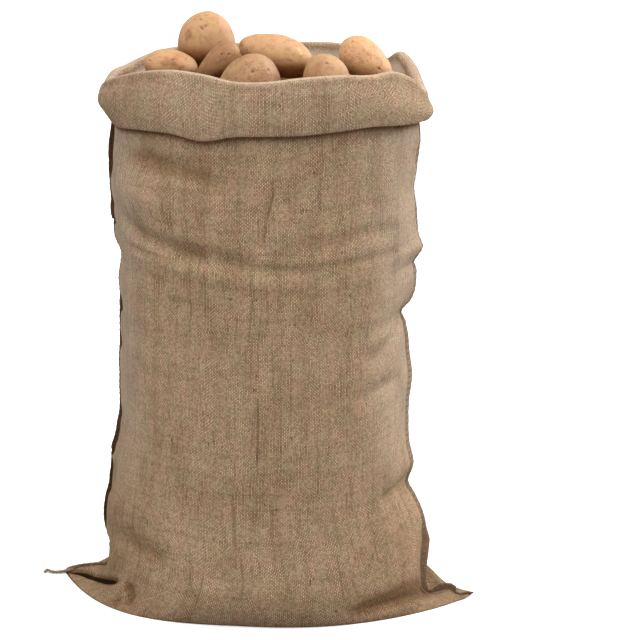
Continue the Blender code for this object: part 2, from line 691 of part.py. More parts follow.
make_cloth()
make_fill()
for potato_name, potato_shape in POTATOES.items():
    add_object(potato_name, potato_mesh(potato_shape), POTATO_SKIN)
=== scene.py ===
"""A full hessian sack of potatoes in its real cloth, sewing and skins.

Units are metres. +Z is up, the front faces -Y, and the origin is on the floor under the middle
of the sack. "Left" and "right" are seen from the front.
"""

import itertools
import math
from collections import namedtuple

import bmesh
import bpy
import numpy as np
from mathutils import Euler, Matrix, Vector, noise


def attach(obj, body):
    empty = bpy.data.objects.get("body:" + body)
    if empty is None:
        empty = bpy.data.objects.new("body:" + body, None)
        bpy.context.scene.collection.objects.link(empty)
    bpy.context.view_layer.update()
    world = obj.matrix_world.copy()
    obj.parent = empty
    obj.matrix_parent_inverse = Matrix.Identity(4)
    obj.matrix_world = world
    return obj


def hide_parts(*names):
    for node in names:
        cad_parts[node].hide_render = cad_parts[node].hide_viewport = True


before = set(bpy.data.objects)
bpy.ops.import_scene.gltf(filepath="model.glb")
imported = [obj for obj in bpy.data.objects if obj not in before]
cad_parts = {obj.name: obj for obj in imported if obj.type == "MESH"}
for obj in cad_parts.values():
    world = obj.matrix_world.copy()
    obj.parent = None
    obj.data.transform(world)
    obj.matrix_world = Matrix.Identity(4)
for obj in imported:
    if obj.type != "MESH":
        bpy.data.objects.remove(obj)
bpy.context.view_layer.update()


# The cloth
#
# One length of jute hessian, folded across its middle and sewn up both edges. The fold is the
# bottom, its two empty corners lie flat as ears, and the mouth is turned down once as a cuff.

CLOTH = 0.002
SEAM_THICKNESS = 0.0034
PANEL_WIDTH = 0.58

# Heights at which the sack changes from one kind of shape to the next.
BASE_TOP = 0.070
NECK = 0.645
SECTION_TOP = 0.750

# How finely the cloth is divided. The hidden inside has rows farther apart.
PANEL_STEPS = 132
SEAM_CROWDING = 0.5
CURVE_SAMPLES = 361
BODY_STEPS = 170
BASE_STEPS = 24
UNDER_CUFF_ROWS = 8
FOLD_ROWS = 12
CUFF_ROWS = 18
INSIDE_EVERY = 5
INSIDE_BASE_STEPS = 12

# The cloth near the floor: how high its two faces lie at least, and how far its inside fold
# is drawn in, there and in an ear.
LOWEST_OUTSIDE = 0.3 * CLOTH
LOWEST_INSIDE = 1.3 * CLOTH
FOLD_SETBACK = 2 * CLOTH
EAR_SETBACK = 3 * CLOTH

FRONT, BACK = -1, 1
LEFT, RIGHT = -1, 1
# A panel's row of points runs from its right seam to its left one.
ENDS = {RIGHT: 0, LEFT: -1}


def table(kind, *rows):
    """Plain rows as rows whose columns have names."""
    return tuple(kind(*row) for row in rows)


# Half widths and half depths of the filled body, to the outside of the cloth.
Section = namedtuple("Section", "height left right front back")
SECTIONS = table(
    Section,
    (0.07, 0.225, 0.221, 0.174, 0.164), (0.105, 0.225, 0.212, 0.172, 0.165),
    (0.15, 0.217, 0.197, 0.171, 0.167), (0.2, 0.208, 0.192, 0.172, 0.17),
    (0.27, 0.197, 0.188, 0.174, 0.172), (0.34, 0.196, 0.188, 0.174, 0.172),
    (0.4, 0.195, 0.189, 0.172, 0.17), (0.44, 0.195, 0.196, 0.171, 0.169),
    (0.48, 0.196, 0.197, 0.17, 0.168), (0.54, 0.203, 0.199, 0.168, 0.165),
    (0.6, 0.206, 0.197, 0.165, 0.162), (0.65, 0.202, 0.201, 0.161, 0.157),
    (0.7, 0.2, 0.199, 0.158, 0.153), (0.75, 0.199, 0.197, 0.156, 0.151),
)

# The outline on the floor is a lens whose points are the ears' tips. Fullness and bluntness are
# powers of its curve, and so is TIP_BEND, by which it turns aside only near the tips.
Tip = namedtuple("Tip", "x y")
TIPS = {LEFT: Tip(-0.294, -0.002), RIGHT: Tip(0.291, -0.016)}
Foot = namedtuple("Foot", "depth left_fullness left_blunt right_fullness right_blunt")
FOOT = {
    FRONT: Foot(0.1635, 3.65, 1.00, 2.2, 0.76),
    BACK: Foot(0.154, 3.0, 1.45, 3.4, 2.20),
}
TIP_BEND = 6

# How the wall rises between the floor and the top of the base: the heights of the two middle
# points of its curve, upright and where an ear lies before it. The first point bulges out, the
# second one by a share of that, and an ear draws the first one in.
OUTER_RISES = ((0.012, 0.007), (0.045, 0.018))
INNER_RISES = ((0.012, 0.010), (0.043, 0.040))
BASE_BULGE = 0.010
SECOND_BULGE_SHARE = 0.5
EAR_REACH = 0.045
EAR_DRAW_IN = 0.55

# The sewn ridge of each ear, from its tip to the top of the base.
Ridge = namedtuple("Ridge", "share x y z")
RIDGES = {
    LEFT: table(
        Ridge,
        (0.0, -0.294, -0.002, 0.003), (0.1, -0.282, 0.0, 0.006), (0.22, -0.266, 0.002, 0.009),
        (0.36, -0.248, 0.003, 0.011), (0.5, -0.234, 0.003, 0.0118), (0.6, -0.2265, 0.003, 0.016),
        (0.74, -0.2235, 0.001, 0.033), (1.0, -0.225, 0.0, BASE_TOP),
    ),
    RIGHT: table(
        Ridge,
        (0.0, 0.291, -0.016, 0.0025), (0.07, 0.285, -0.015, 0.0032), (0.14, 0.276, -0.018, 0.0018),
        (0.21, 0.267, -0.018, 0.003), (0.3, 0.258, -0.02, 0.009), (0.4, 0.245, -0.022, 0.006),
        (0.5, 0.231, -0.026, 0.0035), (0.6, 0.2215, -0.026, 0.008), (0.76, 0.218, -0.014, 0.03),
        (1.0, 0.218, 0.0, BASE_TOP),
    ),
}
RIDGE_REACH = 0.026

# The flat seam that stands out from the side. Lean turns it towards the front, in degrees.
Seam = namedtuple("Seam", "height width lean")
SEAMS = {
    LEFT: table(
        Seam,
        (0.0, 0.004, 0), (0.012, 0.0045, 10), (0.03, 0.004, 10), (0.07, 0.0085, 4),
        (0.15, 0.0095, -8), (0.25, 0.009, 6), (0.35, 0.0095, -6), (0.44, 0.0085, 4),
        (0.53, 0.008, -14), (0.6, 0.0095, -4), (0.645, 0.008, 0), (0.67, 0.005, 0),
        (0.69, 0.0015, 0), (0.75, 0.001, 0),
    ),
    RIGHT: table(
        Seam,
        (0.0, 0.0015, 0), (0.003, 0.003, 0), (0.0045, 0.0068, 0), (0.012, 0.0078, 0),
        (0.035, 0.0095, 0), (0.07, 0.0112, -8), (0.095, 0.0095, -25), (0.13, 0.009, -35),
        (0.2, 0.0095, -42), (0.3, 0.0095, -38), (0.36, 0.0085, -20), (0.385, 0.0085, -30),
        (0.45, 0.0095, -44), (0.53, 0.0085, -38), (0.6, 0.0095, -44), (0.645, 0.008, -30),
        (0.67, 0.005, -10), (0.69, 0.0015, 0), (0.75, 0.001, 0),
    ),
}
# How much of each seam shows beside the cloth that bulges out along it, in scallops.
Strip = namedtuple("Strip", "height width")
STRIPS = {
    LEFT: table(
        Strip,
        (0.05, 0.002), (0.072, 0.003), (0.086, 0.006), (0.106, 0.0066), (0.119, 0.0054),
        (0.133, 0.0074), (0.156, 0.006), (0.172, 0.0042), (0.181, 0.0022), (0.187, 0.0072),
        (0.202, 0.0078), (0.225, 0.007), (0.247, 0.006), (0.265, 0.0025), (0.309, 0.002),
        (0.333, 0.002), (0.344, 0.0046), (0.356, 0.004), (0.366, 0.0018), (0.39, 0.002),
        (0.398, 0.0064), (0.409, 0.0062), (0.423, 0.0015), (0.508, 0.0015), (0.515, 0.003),
        (0.521, 0.0088), (0.545, 0.0078), (0.556, 0.004), (0.566, 0.0024), (0.577, 0.0026),
        (0.59, 0.006), (0.606, 0.0108), (0.635, 0.011), (0.65, 0.0095), (0.67, 0.006),
        (0.69, 0.0015),
    ),
    RIGHT: table(
        Strip,
        (0.068, 0.0112), (0.082, 0.0085), (0.095, 0.0058), (0.15, 0.0052), (0.163, 0.003),
        (0.175, 0.0062), (0.216, 0.0058), (0.31, 0.0065), (0.346, 0.006), (0.375, 0.0045),
        (0.398, 0.002), (0.408, 0.0024), (0.425, 0.0056), (0.446, 0.005), (0.48, 0.0042),
        (0.49, 0.0016), (0.525, 0.0016), (0.532, 0.0032), (0.56, 0.0026), (0.568, 0.0018),
        (0.6, 0.0024), (0.608, 0.0056), (0.625, 0.0056), (0.634, 0.002), (0.69, 0.0012),
    ),
}
SCALLOP_REACH = 0.022
# Under the cuff the seam stands out this far. Outside on the cuff and inside the sack it is a
# groove, whose floor's thickness is a share of the seam's.
CUFF_SEAM_RISE = 0.0025
GROOVE_DEPTH = 0.0014
GROOVE_SHARE = 0.3

# Where the sewing draws the side in. A negative depth is a bulge.
Pinch = namedtuple("Pinch", "side height depth spread")
PINCHES = table(
    Pinch,
    (RIGHT, 0.07, 0.003, 0.022), (RIGHT, 0.158, 0.007, 0.014), (RIGHT, 0.185, -0.0055, 0.024),
    (RIGHT, 0.31, -0.0055, 0.031), (RIGHT, 0.381, 0.0022, 0.008), (RIGHT, 0.4015, 0.0121, 0.013),
    (RIGHT, 0.471, 0.003, 0.006), (RIGHT, 0.494, -0.0085, 0.014), (RIGHT, 0.575, 0.0065, 0.028),
    (LEFT, 0.19, -0.0035, 0.014), (LEFT, 0.285, -0.0035, 0.035), (LEFT, 0.475, 0.004, 0.018),
    (LEFT, 0.498, -0.0045, 0.014), (LEFT, 0.53, -0.004, 0.016),
)
PINCH_REACH = 0.055

# Folds and soft dents. Each row gives a fold's width and depth and then its route over the cloth:
# across, from the panel's middle, and up, from the floor. A negative depth is a ridge. A fold
# fades out towards its two ends, the later the higher the power END_FADE. Shade scales the
# painted shade that a fold's depth puts inside it, darker or paler than the depth alone gives.
Fold = namedtuple("Fold", "panel width depth route shade", defaults=[1])
FOLDS = table(
    Fold,
    # The dent all round, where the sack has been tied.
    (FRONT, 0.012, 0.0074, ((-0.225, 0.542), (-0.167, 0.529), (-0.12, 0.518), (-0.05, 0.506)), 0.72),
    (FRONT, 0.0085, 0.004, ((-0.11, 0.513), (-0.04, 0.503), (0.015, 0.496), (0.075, 0.493)), 0.5),
    (FRONT, 0.009, -0.0022, ((-0.2, 0.517), (-0.13, 0.5), (-0.05, 0.485), (0.04, 0.476))),
    (FRONT, 0.0085, 0.0035, ((-0.13, 0.527), (-0.083, 0.52), (-0.04, 0.514), (0.015, 0.504)), 0.6),
    (FRONT, 0.006, 0.0032, ((-0.205, 0.506), (-0.16, 0.503), (-0.122, 0.499), (-0.075, 0.494))),
    (FRONT, 0.008, 0.0024, ((0.03, 0.494), (0.075, 0.494), (0.135, 0.5), (0.27, 0.503)), 0.7),
    (FRONT, 0.012, 0.0028, ((0.04, 0.52), (0.109, 0.522), (0.15, 0.534), (0.245, 0.534)), 0.8),
    (BACK, 0.0085, 0.006, ((-0.275, 0.515), (-0.1, 0.508), (0.08, 0.514), (0.275, 0.508))),
    # Above it, a soft upright fold, and a wide dent under the cuff on the left.
    (FRONT, 0.006, 0.0048, ((0.042, 0.618), (0.032, 0.592), (0.026, 0.57), (0.022, 0.544), (0.017, 0.508))),
    (FRONT, 0.012, 0.0026, ((0.014, 0.58), (0.008, 0.549), (0.006, 0.52))),
    (FRONT, 0.014, -0.0042, ((0.048, 0.58), (0.049, 0.546), (0.044, 0.516))),
    (FRONT, 0.016, 0.0075, ((-0.215, 0.624), (-0.143, 0.628), (-0.069, 0.616), (-0.02, 0.604))),
    (FRONT, 0.019, -0.0045, ((-0.235, 0.578), (-0.175, 0.58), (-0.12, 0.57), (-0.08, 0.56))),
    (BACK, 0.018, 0.006, ((0.04, 0.594), (0.2, 0.606))),
    # Folds that run in from where the sewing draws the right side in.
    (FRONT, 0.01, 0.0046, ((0.29, 0.402), (0.262, 0.394), (0.24, 0.38), (0.215, 0.369),
     (0.165, 0.357)), 0.7),
    (FRONT, 0.009, -0.0034, ((0.262, 0.41), (0.237, 0.4), (0.204, 0.39), (0.165, 0.378))),
    (FRONT, 0.008, -0.004, ((0.268, 0.388), (0.246, 0.365), (0.228, 0.345), (0.205, 0.326))),
    (FRONT, 0.011, 0.004, ((0.255, 0.322), (0.234, 0.32), (0.194, 0.317), (0.15, 0.308)), 0.6),
    (FRONT, 0.008, 0.0045, ((0.29, 0.17), (0.254, 0.161), (0.195, 0.161)), 0.7),
    (BACK, 0.014, 0.0055, ((-0.218, 0.377), (-0.082, 0.343))),
    (BACK, 0.014, 0.005, ((0.106, 0.286), (0.234, 0.314))),
    # Where the base turns under, over the ears. The left ear's upper layer hangs over a deep slit.
    (FRONT, 0.02, 0.006, ((-0.24, 0.092), (-0.19, 0.092), (-0.14, 0.086), (-0.1, 0.074)), 0.9),
    (FRONT, 0.012, 0.0095, ((0.11, 0.02), (0.159, 0.032), (0.208, 0.038), (0.245, 0.038),
     (0.285, 0.034)), 1.42),
    (FRONT, 0.0048, 0.009, ((-0.296, -0.006), (-0.277, 0.013), (-0.252, 0.026), (-0.222, 0.035),
     (-0.192, 0.044)), 2.6),
    (FRONT, 0.006, 0.0062, ((-0.184, 0.045), (-0.168, 0.041), (-0.156, 0.032), (-0.151, 0.015)), 2.0),
    (FRONT, 0.0045, 0.0044, ((-0.163, 0.0), (-0.171, 0.016), (-0.173, 0.03)), 2.0),
    (BACK, 0.011, 0.007, ((0.165, 0.034), (0.285, 0.034))),
    (BACK, 0.011, 0.007, ((-0.165, 0.034), (-0.285, 0.034))),
)
END_FADE = 4
# Where the rows of points stand closer together, for the dent all round.
DENT_HEIGHT = 0.512
DENT_REACH = 0.035
DENT_CROWDING = 1.2

# Heights of the rim and of the cuff's lower edge round the mouth, from the right seam round the
# back, and the radius of the fold over which the mouth is turned down, inside the cloth. The
# angles are measured from the sack's middle.
Edge = namedtuple("Edge", "angle rim hem fold")
EDGES = table(
    Edge,
    (0, 0.706, 0.668, 0.007), (5, 0.71, 0.668, 0.007), (11, 0.719, 0.669, 0.007),
    (18, 0.736, 0.669, 0.007), (25, 0.745, 0.671, 0.0065), (33, 0.733, 0.672, 0.0055),
    (42, 0.741, 0.672, 0.005), (53, 0.7455, 0.669, 0.005), (90, 0.745, 0.671, 0.005),
    (125, 0.743, 0.666, 0.005), (147, 0.74, 0.667, 0.005), (156, 0.734, 0.668, 0.0055),
    (165, 0.7265, 0.67, 0.0065), (175, 0.7235, 0.68, 0.007), (180, 0.72, 0.687, 0.007),
    (185, 0.717, 0.676, 0.007), (190, 0.719, 0.667, 0.0065), (200, 0.727, 0.664, 0.0055),
    (218, 0.742, 0.668, 0.005), (235, 0.749, 0.669, 0.005), (250, 0.746, 0.663, 0.005),
    (264, 0.7385, 0.67, 0.005), (275, 0.738, 0.671, 0.005), (295, 0.7435, 0.672, 0.005),
    (310, 0.7445, 0.675, 0.005), (325, 0.7415, 0.677, 0.0055), (335, 0.7425, 0.674, 0.006),
    (345, 0.731, 0.671, 0.007), (354, 0.714, 0.669, 0.007),
)

# How far the cuff's inner face stands off the wall, from the fold down to the lower edge, and
# how much farther it stands off at the left and right ends of the mouth. It starts at the width
# of the fold and has run over into these values at FOLD_FADE.
Cuff = namedtuple("Cuff", "share offset left right")
CUFF = table(
    Cuff,
    (0.0, 0.011, 0.005, 0.003), (0.25, 0.012, 0.009, 0.0035), (0.5, 0.0128, 0.0095, 0.006),
    (0.75, 0.0122, 0.001, 0.007), (1.0, 0.0085, -0.005, 0.005),
)
CUFF_END_SHARPNESS = 3
FOLD_FADE = 0.25


def smooth_curve(keys, values, at, period=None):
    """Values of a smooth curve through the keys, at each of the places in `at`."""
    keys, values = np.asarray(keys, float), np.asarray(values, float)
    at = np.asarray(at, float)
    if period:
        keys = np.concatenate([keys[-2:] - period, keys, keys[:2] + period])
        values = np.concatenate([values[-2:], values, values[:2]])
        at = at % period
    slopes = np.gradient(values, keys)
    at = np.clip(at, keys[0], keys[-1])
    k = np.clip(np.searchsorted(keys, at, side="right") - 1, 0, len(keys) - 2)
    gap = keys[k + 1] - keys[k]
    s = (at - keys[k]) / gap
    return (
        values[k] * (1 + 2 * s) * (1 - s) ** 2
        + slopes[k] * gap * s * (1 - s) ** 2
        + values[k + 1] * s**2 * (3 - 2 * s)
        - slopes[k + 1] * gap * s**2 * (1 - s)
    )


def row_at(rows, at, period=None):
    """A table's row at any place in its first column, on smooth curves through the others."""
    keys, *columns = zip(*rows)
    return type(rows[0])(at, *(smooth_curve(keys, values, at, period) for values in columns))


def bell(distance, reach):
    """1 at no distance, falling off smoothly over the reach."""
    return np.exp(-((distance / reach) ** 2))


def unit(vectors):
    """The vectors at length one."""
    return vectors / np.linalg.norm(vectors, axis=-1, keepdims=True)


def lengths_along(path):
    """How far along a path each of its points lies."""
    return np.concatenate([[0], np.cumsum(np.linalg.norm(np.diff(path, axis=0), axis=1))])


def vectors_at(places, lengths, vectors):
    """Vectors at these places along a path that has one at each of its lengths."""
    return np.stack([np.interp(places, lengths, vectors[:, k]) for k in range(3)], axis=1)


def spaced(path, shares):
    """The points at the given shares of a path's length."""
    lengths = lengths_along(path)
    return vectors_at(np.asarray(shares) * lengths[-1], lengths, path)


# Shares of a panel's width at which its columns of points stand, closer near the seams, and how
# far each column is from the two seams.
even = np.linspace(0, 1, PANEL_STEPS + 1)
PANEL_SHARES = (1 - SEAM_CROWDING) * even + SEAM_CROWDING * (1 - np.cos(np.pi * even)) / 2
PANEL_ACROSS = PANEL_SHARES * PANEL_WIDTH
SEAM_DISTANCES = {RIGHT: PANEL_ACROSS, LEFT: PANEL_WIDTH - PANEL_ACROSS}


def shown_width(side, height):
    """How much of a seam shows past the cloth beside it."""
    heights, widths = zip(*STRIPS[side])
    if heights[0] < height < heights[-1]:
        return float(np.interp(height, heights, widths))
    return row_at(SEAMS[side], height).width


def body_line(panel, height):
    """A panel's line across the filled body, from the right seam to the left one."""
    section = row_at(SECTIONS, height)
    turn = np.linspace(0, np.pi, CURVE_SAMPLES)
    depth = (section.front if panel == FRONT else section.back) - SEAM_THICKNESS / 2
    x = np.where(np.cos(turn) > 0, section.right, section.left) * np.cos(turn)
    y = panel * (SEAM_THICKNESS / 2 + depth * np.sin(turn))
    line = spaced(np.stack([x, y, np.full_like(x, height)], axis=1), PANEL_SHARES)
    for pinch in PINCHES:
        pull = pinch.depth * bell(height - pinch.height, pinch.spread)
        line[:, 0] -= pinch.side * pull * bell(SEAM_DISTANCES[pinch.side], PINCH_REACH)
    for side, distances in SEAM_DISTANCES.items():
        hidden = row_at(SEAMS[side], height).width - shown_width(side, height)
        line[:, 0] += side * hidden * bell(distances, SCALLOP_REACH)
    return line


def foot_line(panel):
    """A panel's line on the floor, from the right ear's tip to the left one's."""
    across = np.cos(np.linspace(0, np.pi, CURVE_SAMPLES))
    foot = FOOT[panel]
    right = (1 - np.abs(across) ** foot.right_fullness) ** foot.right_blunt
    left = (1 - np.abs(across) ** foot.left_fullness) ** foot.left_blunt
    depth = np.where(across > 0, right, left) * (foot.depth - SEAM_THICKNESS / 2)
    x = np.abs(across) * np.where(across > 0, TIPS[RIGHT].x, TIPS[LEFT].x)
    y = across**TIP_BEND * np.where(across > 0, TIPS[RIGHT].y, TIPS[LEFT].y)
    y += panel * (SEAM_THICKNESS / 2 + depth)
    return spaced(np.stack([x, y, np.zeros_like(y)], axis=1), PANEL_SHARES)


def ear_weights(foot, body):
    """How far each column of a panel belongs to an ear: 0 below the body, 1 out in the ear."""
    outward = ((foot - body) * unit(body * (1, 1, 0))).sum(axis=1, keepdims=True)
    return np.clip(outward / EAR_REACH, 0, 1)


def base_rows(foot, body, ear, rises, shares):
    """Rows of a panel from its line on the floor up to the body. Each column is a cubic curve
    whose two middle points stand at the heights in `rises`, lower where an ear lies."""
    outward = (foot - body) * (1, 1, 0)
    bulge = BASE_BULGE * (1 - ear) * unit(body * (1, 1, 0))
    low, high = (steep + (flat - steep) * ear for steep, flat in rises)
    up = np.array([0, 0, 1.0])
    first = foot - EAR_DRAW_IN * ear * outward + bulge + low * up
    second = body * (1, 1, 0) + SECOND_BULGE_SHARE * bulge + high * up
    rows = []
    for s in shares:
        weights = (1 - s) ** 3, 3 * s * (1 - s) ** 2, 3 * s**2 * (1 - s), s**3
        rows.append(sum(w * p for w, p in zip(weights, (foot, first, second, body))))
    return rows


def on_ridges(row, share):
    """A row of the base with its two ends set on the ears' sewn ridges."""
    moved = row.copy()
    for side, end in ENDS.items():
        shift = row_at(RIDGES[side], share)[1:] - row[end] * (1, 0, 1)
        moved += bell(SEAM_DISTANCES[side], RIDGE_REACH)[:, None] * shift
    return moved


def facing_out(grid, panel):
    """Outward normals of one panel's grid of rows."""
    normals = unit(np.cross(np.gradient(grid, axis=1), np.gradient(grid, axis=0)))
    middle = normals[len(grid) // 2, PANEL_STEPS // 2]
    return normals * np.sign(middle[1] * panel)


def fold_depths(panel, ups):
    """How far the folds press the cloth in, for each row and column of a panel, and how much
    painted shade that gives them."""
    across, up = np.meshgrid((0.5 - PANEL_SHARES) * PANEL_WIDTH, ups)
    places = np.stack([across, up], axis=-1)
    total, dark = np.zeros_like(across), np.zeros_like(across)
    for fold in FOLDS:
        if fold.panel != panel:
            continue
        route = np.array(fold.route)
        lengths = np.linalg.norm(np.diff(route, axis=0), axis=1)
        nearest, along = np.full_like(across, np.inf), np.zeros_like(across)
        for k, length in enumerate(lengths):
            ahead = (route[k + 1] - route[k]) / length
            passed = np.clip((places - route[k]) @ ahead, 0, length)
            distance = np.linalg.norm(places - route[k] - passed[..., None] * ahead, axis=-1)
            along = np.where(distance < nearest, lengths[:k].sum() + passed, along)
            nearest = np.minimum(nearest, distance)
        fade = 1 - np.abs(2 * along / lengths.sum() - 1) ** END_FADE
        pressed = fold.depth * fade * bell(nearest, fold.width)
        total += pressed
        dark += pressed * fold.shade
    return total, dark


def body_heights():
    """Heights of the body's rows, closer together at the dent all round."""
    fine = np.linspace(BASE_TOP, NECK, CURVE_SAMPLES)
    density = 1 + DENT_CROWDING * bell(fine - DENT_HEIGHT, DENT_REACH)
    passed = np.concatenate([[0], np.cumsum((density[1:] + density[:-1]) / 2)])
    return np.interp(np.linspace(0, passed[-1], BODY_STEPS + 1), passed, fine)


def lowest_near(rows, reach):
    """For each row, the lowest of the values in it and in the rows around it."""
    return np.array([rows[max(0, k - reach) : k + reach + 1].min(axis=0) for k in range(len(rows))])


# Small undulations of the full cloth: the size of the waves in metres, and their height.
Wave = namedtuple("Wave", "length height seed")
WAVES = table(
    Wave,
    (0.11, 0.0022, 3.0), (0.055, 0.001, 11.0), (0.022, 0.0003, 23.0),
)
# Waves and puckers fade out over this height below the neck, where the plain collar begins.
NECK_FADE = 0.03
# Beside the sewing the cloth puckers. Each row gives the ripples' length along the seam, how far
# they reach in from it, and their height. Across the cloth they are this long.
PUCKER_WIDTH = 0.12
Pucker = namedtuple("Pucker", "length reach height seed")
PUCKERS = table(
    Pucker,
    (0.016, 0.01, 0.0009, 5.0), (0.034, 0.03, 0.0016, 17.0), (0.07, 0.06, 0.002, 29.0),
)


def grain(points, lengths, seed):
    """Smooth noise between -1 and 1 at each point, with waves of the given length in metres."""
    scaled = (points / np.asarray(lengths)).reshape(-1, 3) + seed
    values = np.array([noise.noise(point) for point in scaled.tolist()])
    return values.reshape(points.shape[:-1])


def undulations(panel, grid):
    """How far the waves and puckers lift each point of a panel's grid."""
    lift = sum(wave.height * grain(grid, wave.length, wave.seed) for wave in WAVES)
    for pucker in PUCKERS:
        ripples = grain(grid, (PUCKER_WIDTH, PUCKER_WIDTH, pucker.length), pucker.seed + panel)
        for distance in SEAM_DISTANCES.values():
            lift += pucker.height * ripples * np.exp(-distance / pucker.reach)
    return lift


def side_wall(panel):
    """The outside and the inside of a panel from the floor to the neck, as grids of rows, and the
    painted shade that a fold gives each point of the outside."""
    heights = body_heights()
    body = [body_line(panel, height) for height in heights]
    foot = foot_line(panel)
    ear = ear_weights(foot, body[0])
    shares = np.linspace(0, 1, BASE_STEPS, endpoint=False)
    base = base_rows(foot, body[0], ear, OUTER_RISES, shares)
    base = [foot] + [on_ridges(row, s) for row, s in zip(base[1:], shares[1:])]
    plain = np.array(base + body)
    ups = np.concatenate([shares * BASE_TOP, heights])
    depths, dark = fold_depths(panel, ups)
    depths[0] = 0
    firm = np.clip(ups / BASE_TOP, 0, 1) * np.clip((NECK - ups) / NECK_FADE, 0, 1)
    lift = (undulations(panel, plain) * firm[:, None] - depths)[:, :, None]
    outward = facing_out(plain, panel)
    outer = plain + outward * lift
    outer[1:, :, 2] = np.maximum(outer[1:, :, 2], LOWEST_OUTSIDE)

    drawn_in = plain.copy()
    drawn_in[..., 0] = np.sign(plain[..., 0]) * lowest_near(np.abs(plain[..., 0]), INSIDE_EVERY)
    under = drawn_in + outward * (lowest_near(lift, INSIDE_EVERY) - CLOTH)
    inner_body = under[BASE_STEPS::INSIDE_EVERY]
    setback = FOLD_SETBACK + (EAR_SETBACK - FOLD_SETBACK) * ear
    inner_foot = foot + ear * (inner_body[0] - foot) - setback * unit(foot)
    inner_foot[:, 2] = CLOTH
    inside_shares = np.linspace(0, 1, INSIDE_BASE_STEPS, endpoint=False)
    inner_base = np.array(base_rows(inner_foot, inner_body[0], ear, INNER_RISES, inside_shares))
    inside_depths, _ = fold_depths(panel, inside_shares * BASE_TOP)
    inner_base[1:] -= facing_out(inner_base, panel)[1:] * inside_depths[1:, :, None]
    inner_base[1:, :, 2] = np.maximum(inner_base[1:, :, 2], LOWEST_INSIDE)
    return outer, np.concatenate([inner_base, inner_body]), dark


def collar(panel):
    """The wall above the neck as a function: its outside at any height, and its outward
    direction, which lies level."""
    low, high = body_line(panel, NECK), body_line(panel, SECTION_TOP)
    along = np.gradient(low, axis=0)
    outward = unit(np.stack([along[:, 1], -along[:, 0], np.zeros(len(along))], axis=1))
    outward *= np.sign(outward[PANEL_STEPS // 2, 1] * panel)

    def wall(heights):
        share = (np.asarray(heights) - NECK) / (SECTION_TOP - NECK)
        points = low + (high - low) * share[:, None]
        points[:, 2] = heights
        return points

    return wall, outward


# The cuff is softly dented, from nothing at the fold. Its rows' shares run from there down to the
# hem, and from this share on the dents keep their depth.
CUFF_WAVE = Wave(0.060, 0.0022, 41.0)
CUFF_WAVE_UNTIL = 0.75
HEM_ROUNDING = 0.0008
# Where the painted highlight on the fold's top begins, as the sine of the turn round it.
RIM_FROM = 0.8
MouthRow = namedtuple("MouthRow", "points normals part")


def mouth_rows(panel):
    """The cloth above the neck as rows: up the wall, over the fold, down the inside of the cuff,
    round the hem, up the outside of the cuff, over the fold again and down the inside wall.
    With each row come its outward normals and the part of the mouth that it belongs to."""
    wall, outward = collar(panel)
    up = np.array([0, 0, 1.0])
    plan = wall(np.full(PANEL_STEPS + 1, NECK))
    angles = np.degrees(np.arctan2(plan[:, 1], plan[:, 0]))
    _, rim, hem, inside = row_at(EDGES, angles, 360)
    centre = rim - inside - CLOTH
    sideways = np.abs(outward[:, 0]) ** CUFF_END_SHARPNESS

    def cuff_face(share, thickness):
        heights = centre + (hem - centre) * share
        _, offset, left, right = row_at(CUFF, share)
        offset = offset + sideways * np.where(outward[:, 0] < 0, left, right)
        folded = (1 + math.cos(math.pi * min(1, share / FOLD_FADE))) / 2
        offset = thickness + folded * 2 * inside + (1 - folded) * offset
        points = wall(heights) + outward * offset[:, None]
        wave = CUFF_WAVE.height * grain(points, CUFF_WAVE.length, CUFF_WAVE.seed)
        return points + outward * (wave * math.sin(math.pi * min(share, CUFF_WAVE_UNTIL)))[:, None]

    def fold(thickness, turn):
        around = -math.cos(turn) * outward + math.sin(turn) * up
        return wall(centre) + outward * inside[:, None] + around * (inside + thickness)[:, None]

    rows = []
    for share in np.linspace(0, 1, UNDER_CUFF_ROWS + 1)[1:]:
        rows.append((wall(NECK + (centre - NECK) * share), outward, "wall"))
    for turn in np.linspace(0, np.pi, FOLD_ROWS + 1)[1:]:
        normals = math.cos(turn) * outward - math.sin(turn) * up
        rows.append((fold(0, turn), normals, "hidden"))
    for share in np.linspace(0, 1, CUFF_ROWS)[1:]:
        rows.append((cuff_face(share, 0), -outward, "hidden"))
    middle_of_hem = (cuff_face(1, 0) + cuff_face(1, CLOTH)) / 2 - HEM_ROUNDING * up
    rows.append((middle_of_hem, -up + 0 * outward, "hem"))
    for share in np.linspace(1, 0, CUFF_ROWS):
        rows.append((cuff_face(share, CLOTH), outward, "cuff"))
    for turn in np.linspace(np.pi, 0, FOLD_ROWS + 2)[1:]:
        normals = -math.cos(turn) * outward + math.sin(turn) * up
        part = "rim" if math.sin(turn) > RIM_FROM else "cuff"
        rows.append((fold(CLOTH, turn), normals, part))
    for share in np.linspace(1, 0, UNDER_CUFF_ROWS + 1)[1:-1]:
        points = wall(NECK + (centre - NECK) * share) - outward * CLOTH
        rows.append((points, -outward, "inside"))
    return table(MouthRow, *rows)


# The flat edge of a seam across its section, from the front panel round to the back one: how
# far out each point stands, and how far to the front or back, as shares of the seam's sizes.
Lip = namedtuple("Lip", "out side")
SEAM_SECTION = table(
    Lip,
    (0.15, 1.0), (0.7, 0.95), (0.94, 0.8), (1.05, 0.0), (0.94, -0.8), (0.7, -0.95), (0.15, -1.0),
)


def seam_points(front_root, back_root, direction, reach, slim=1):
    """One section through a seam, from the front panel's last point to the back panel's."""
    middle, half = (front_root + back_root) / 2, (front_root - back_root) / 2
    return np.array([middle + direction * reach * lip.out + half * slim * lip.side for lip in SEAM_SECTION])


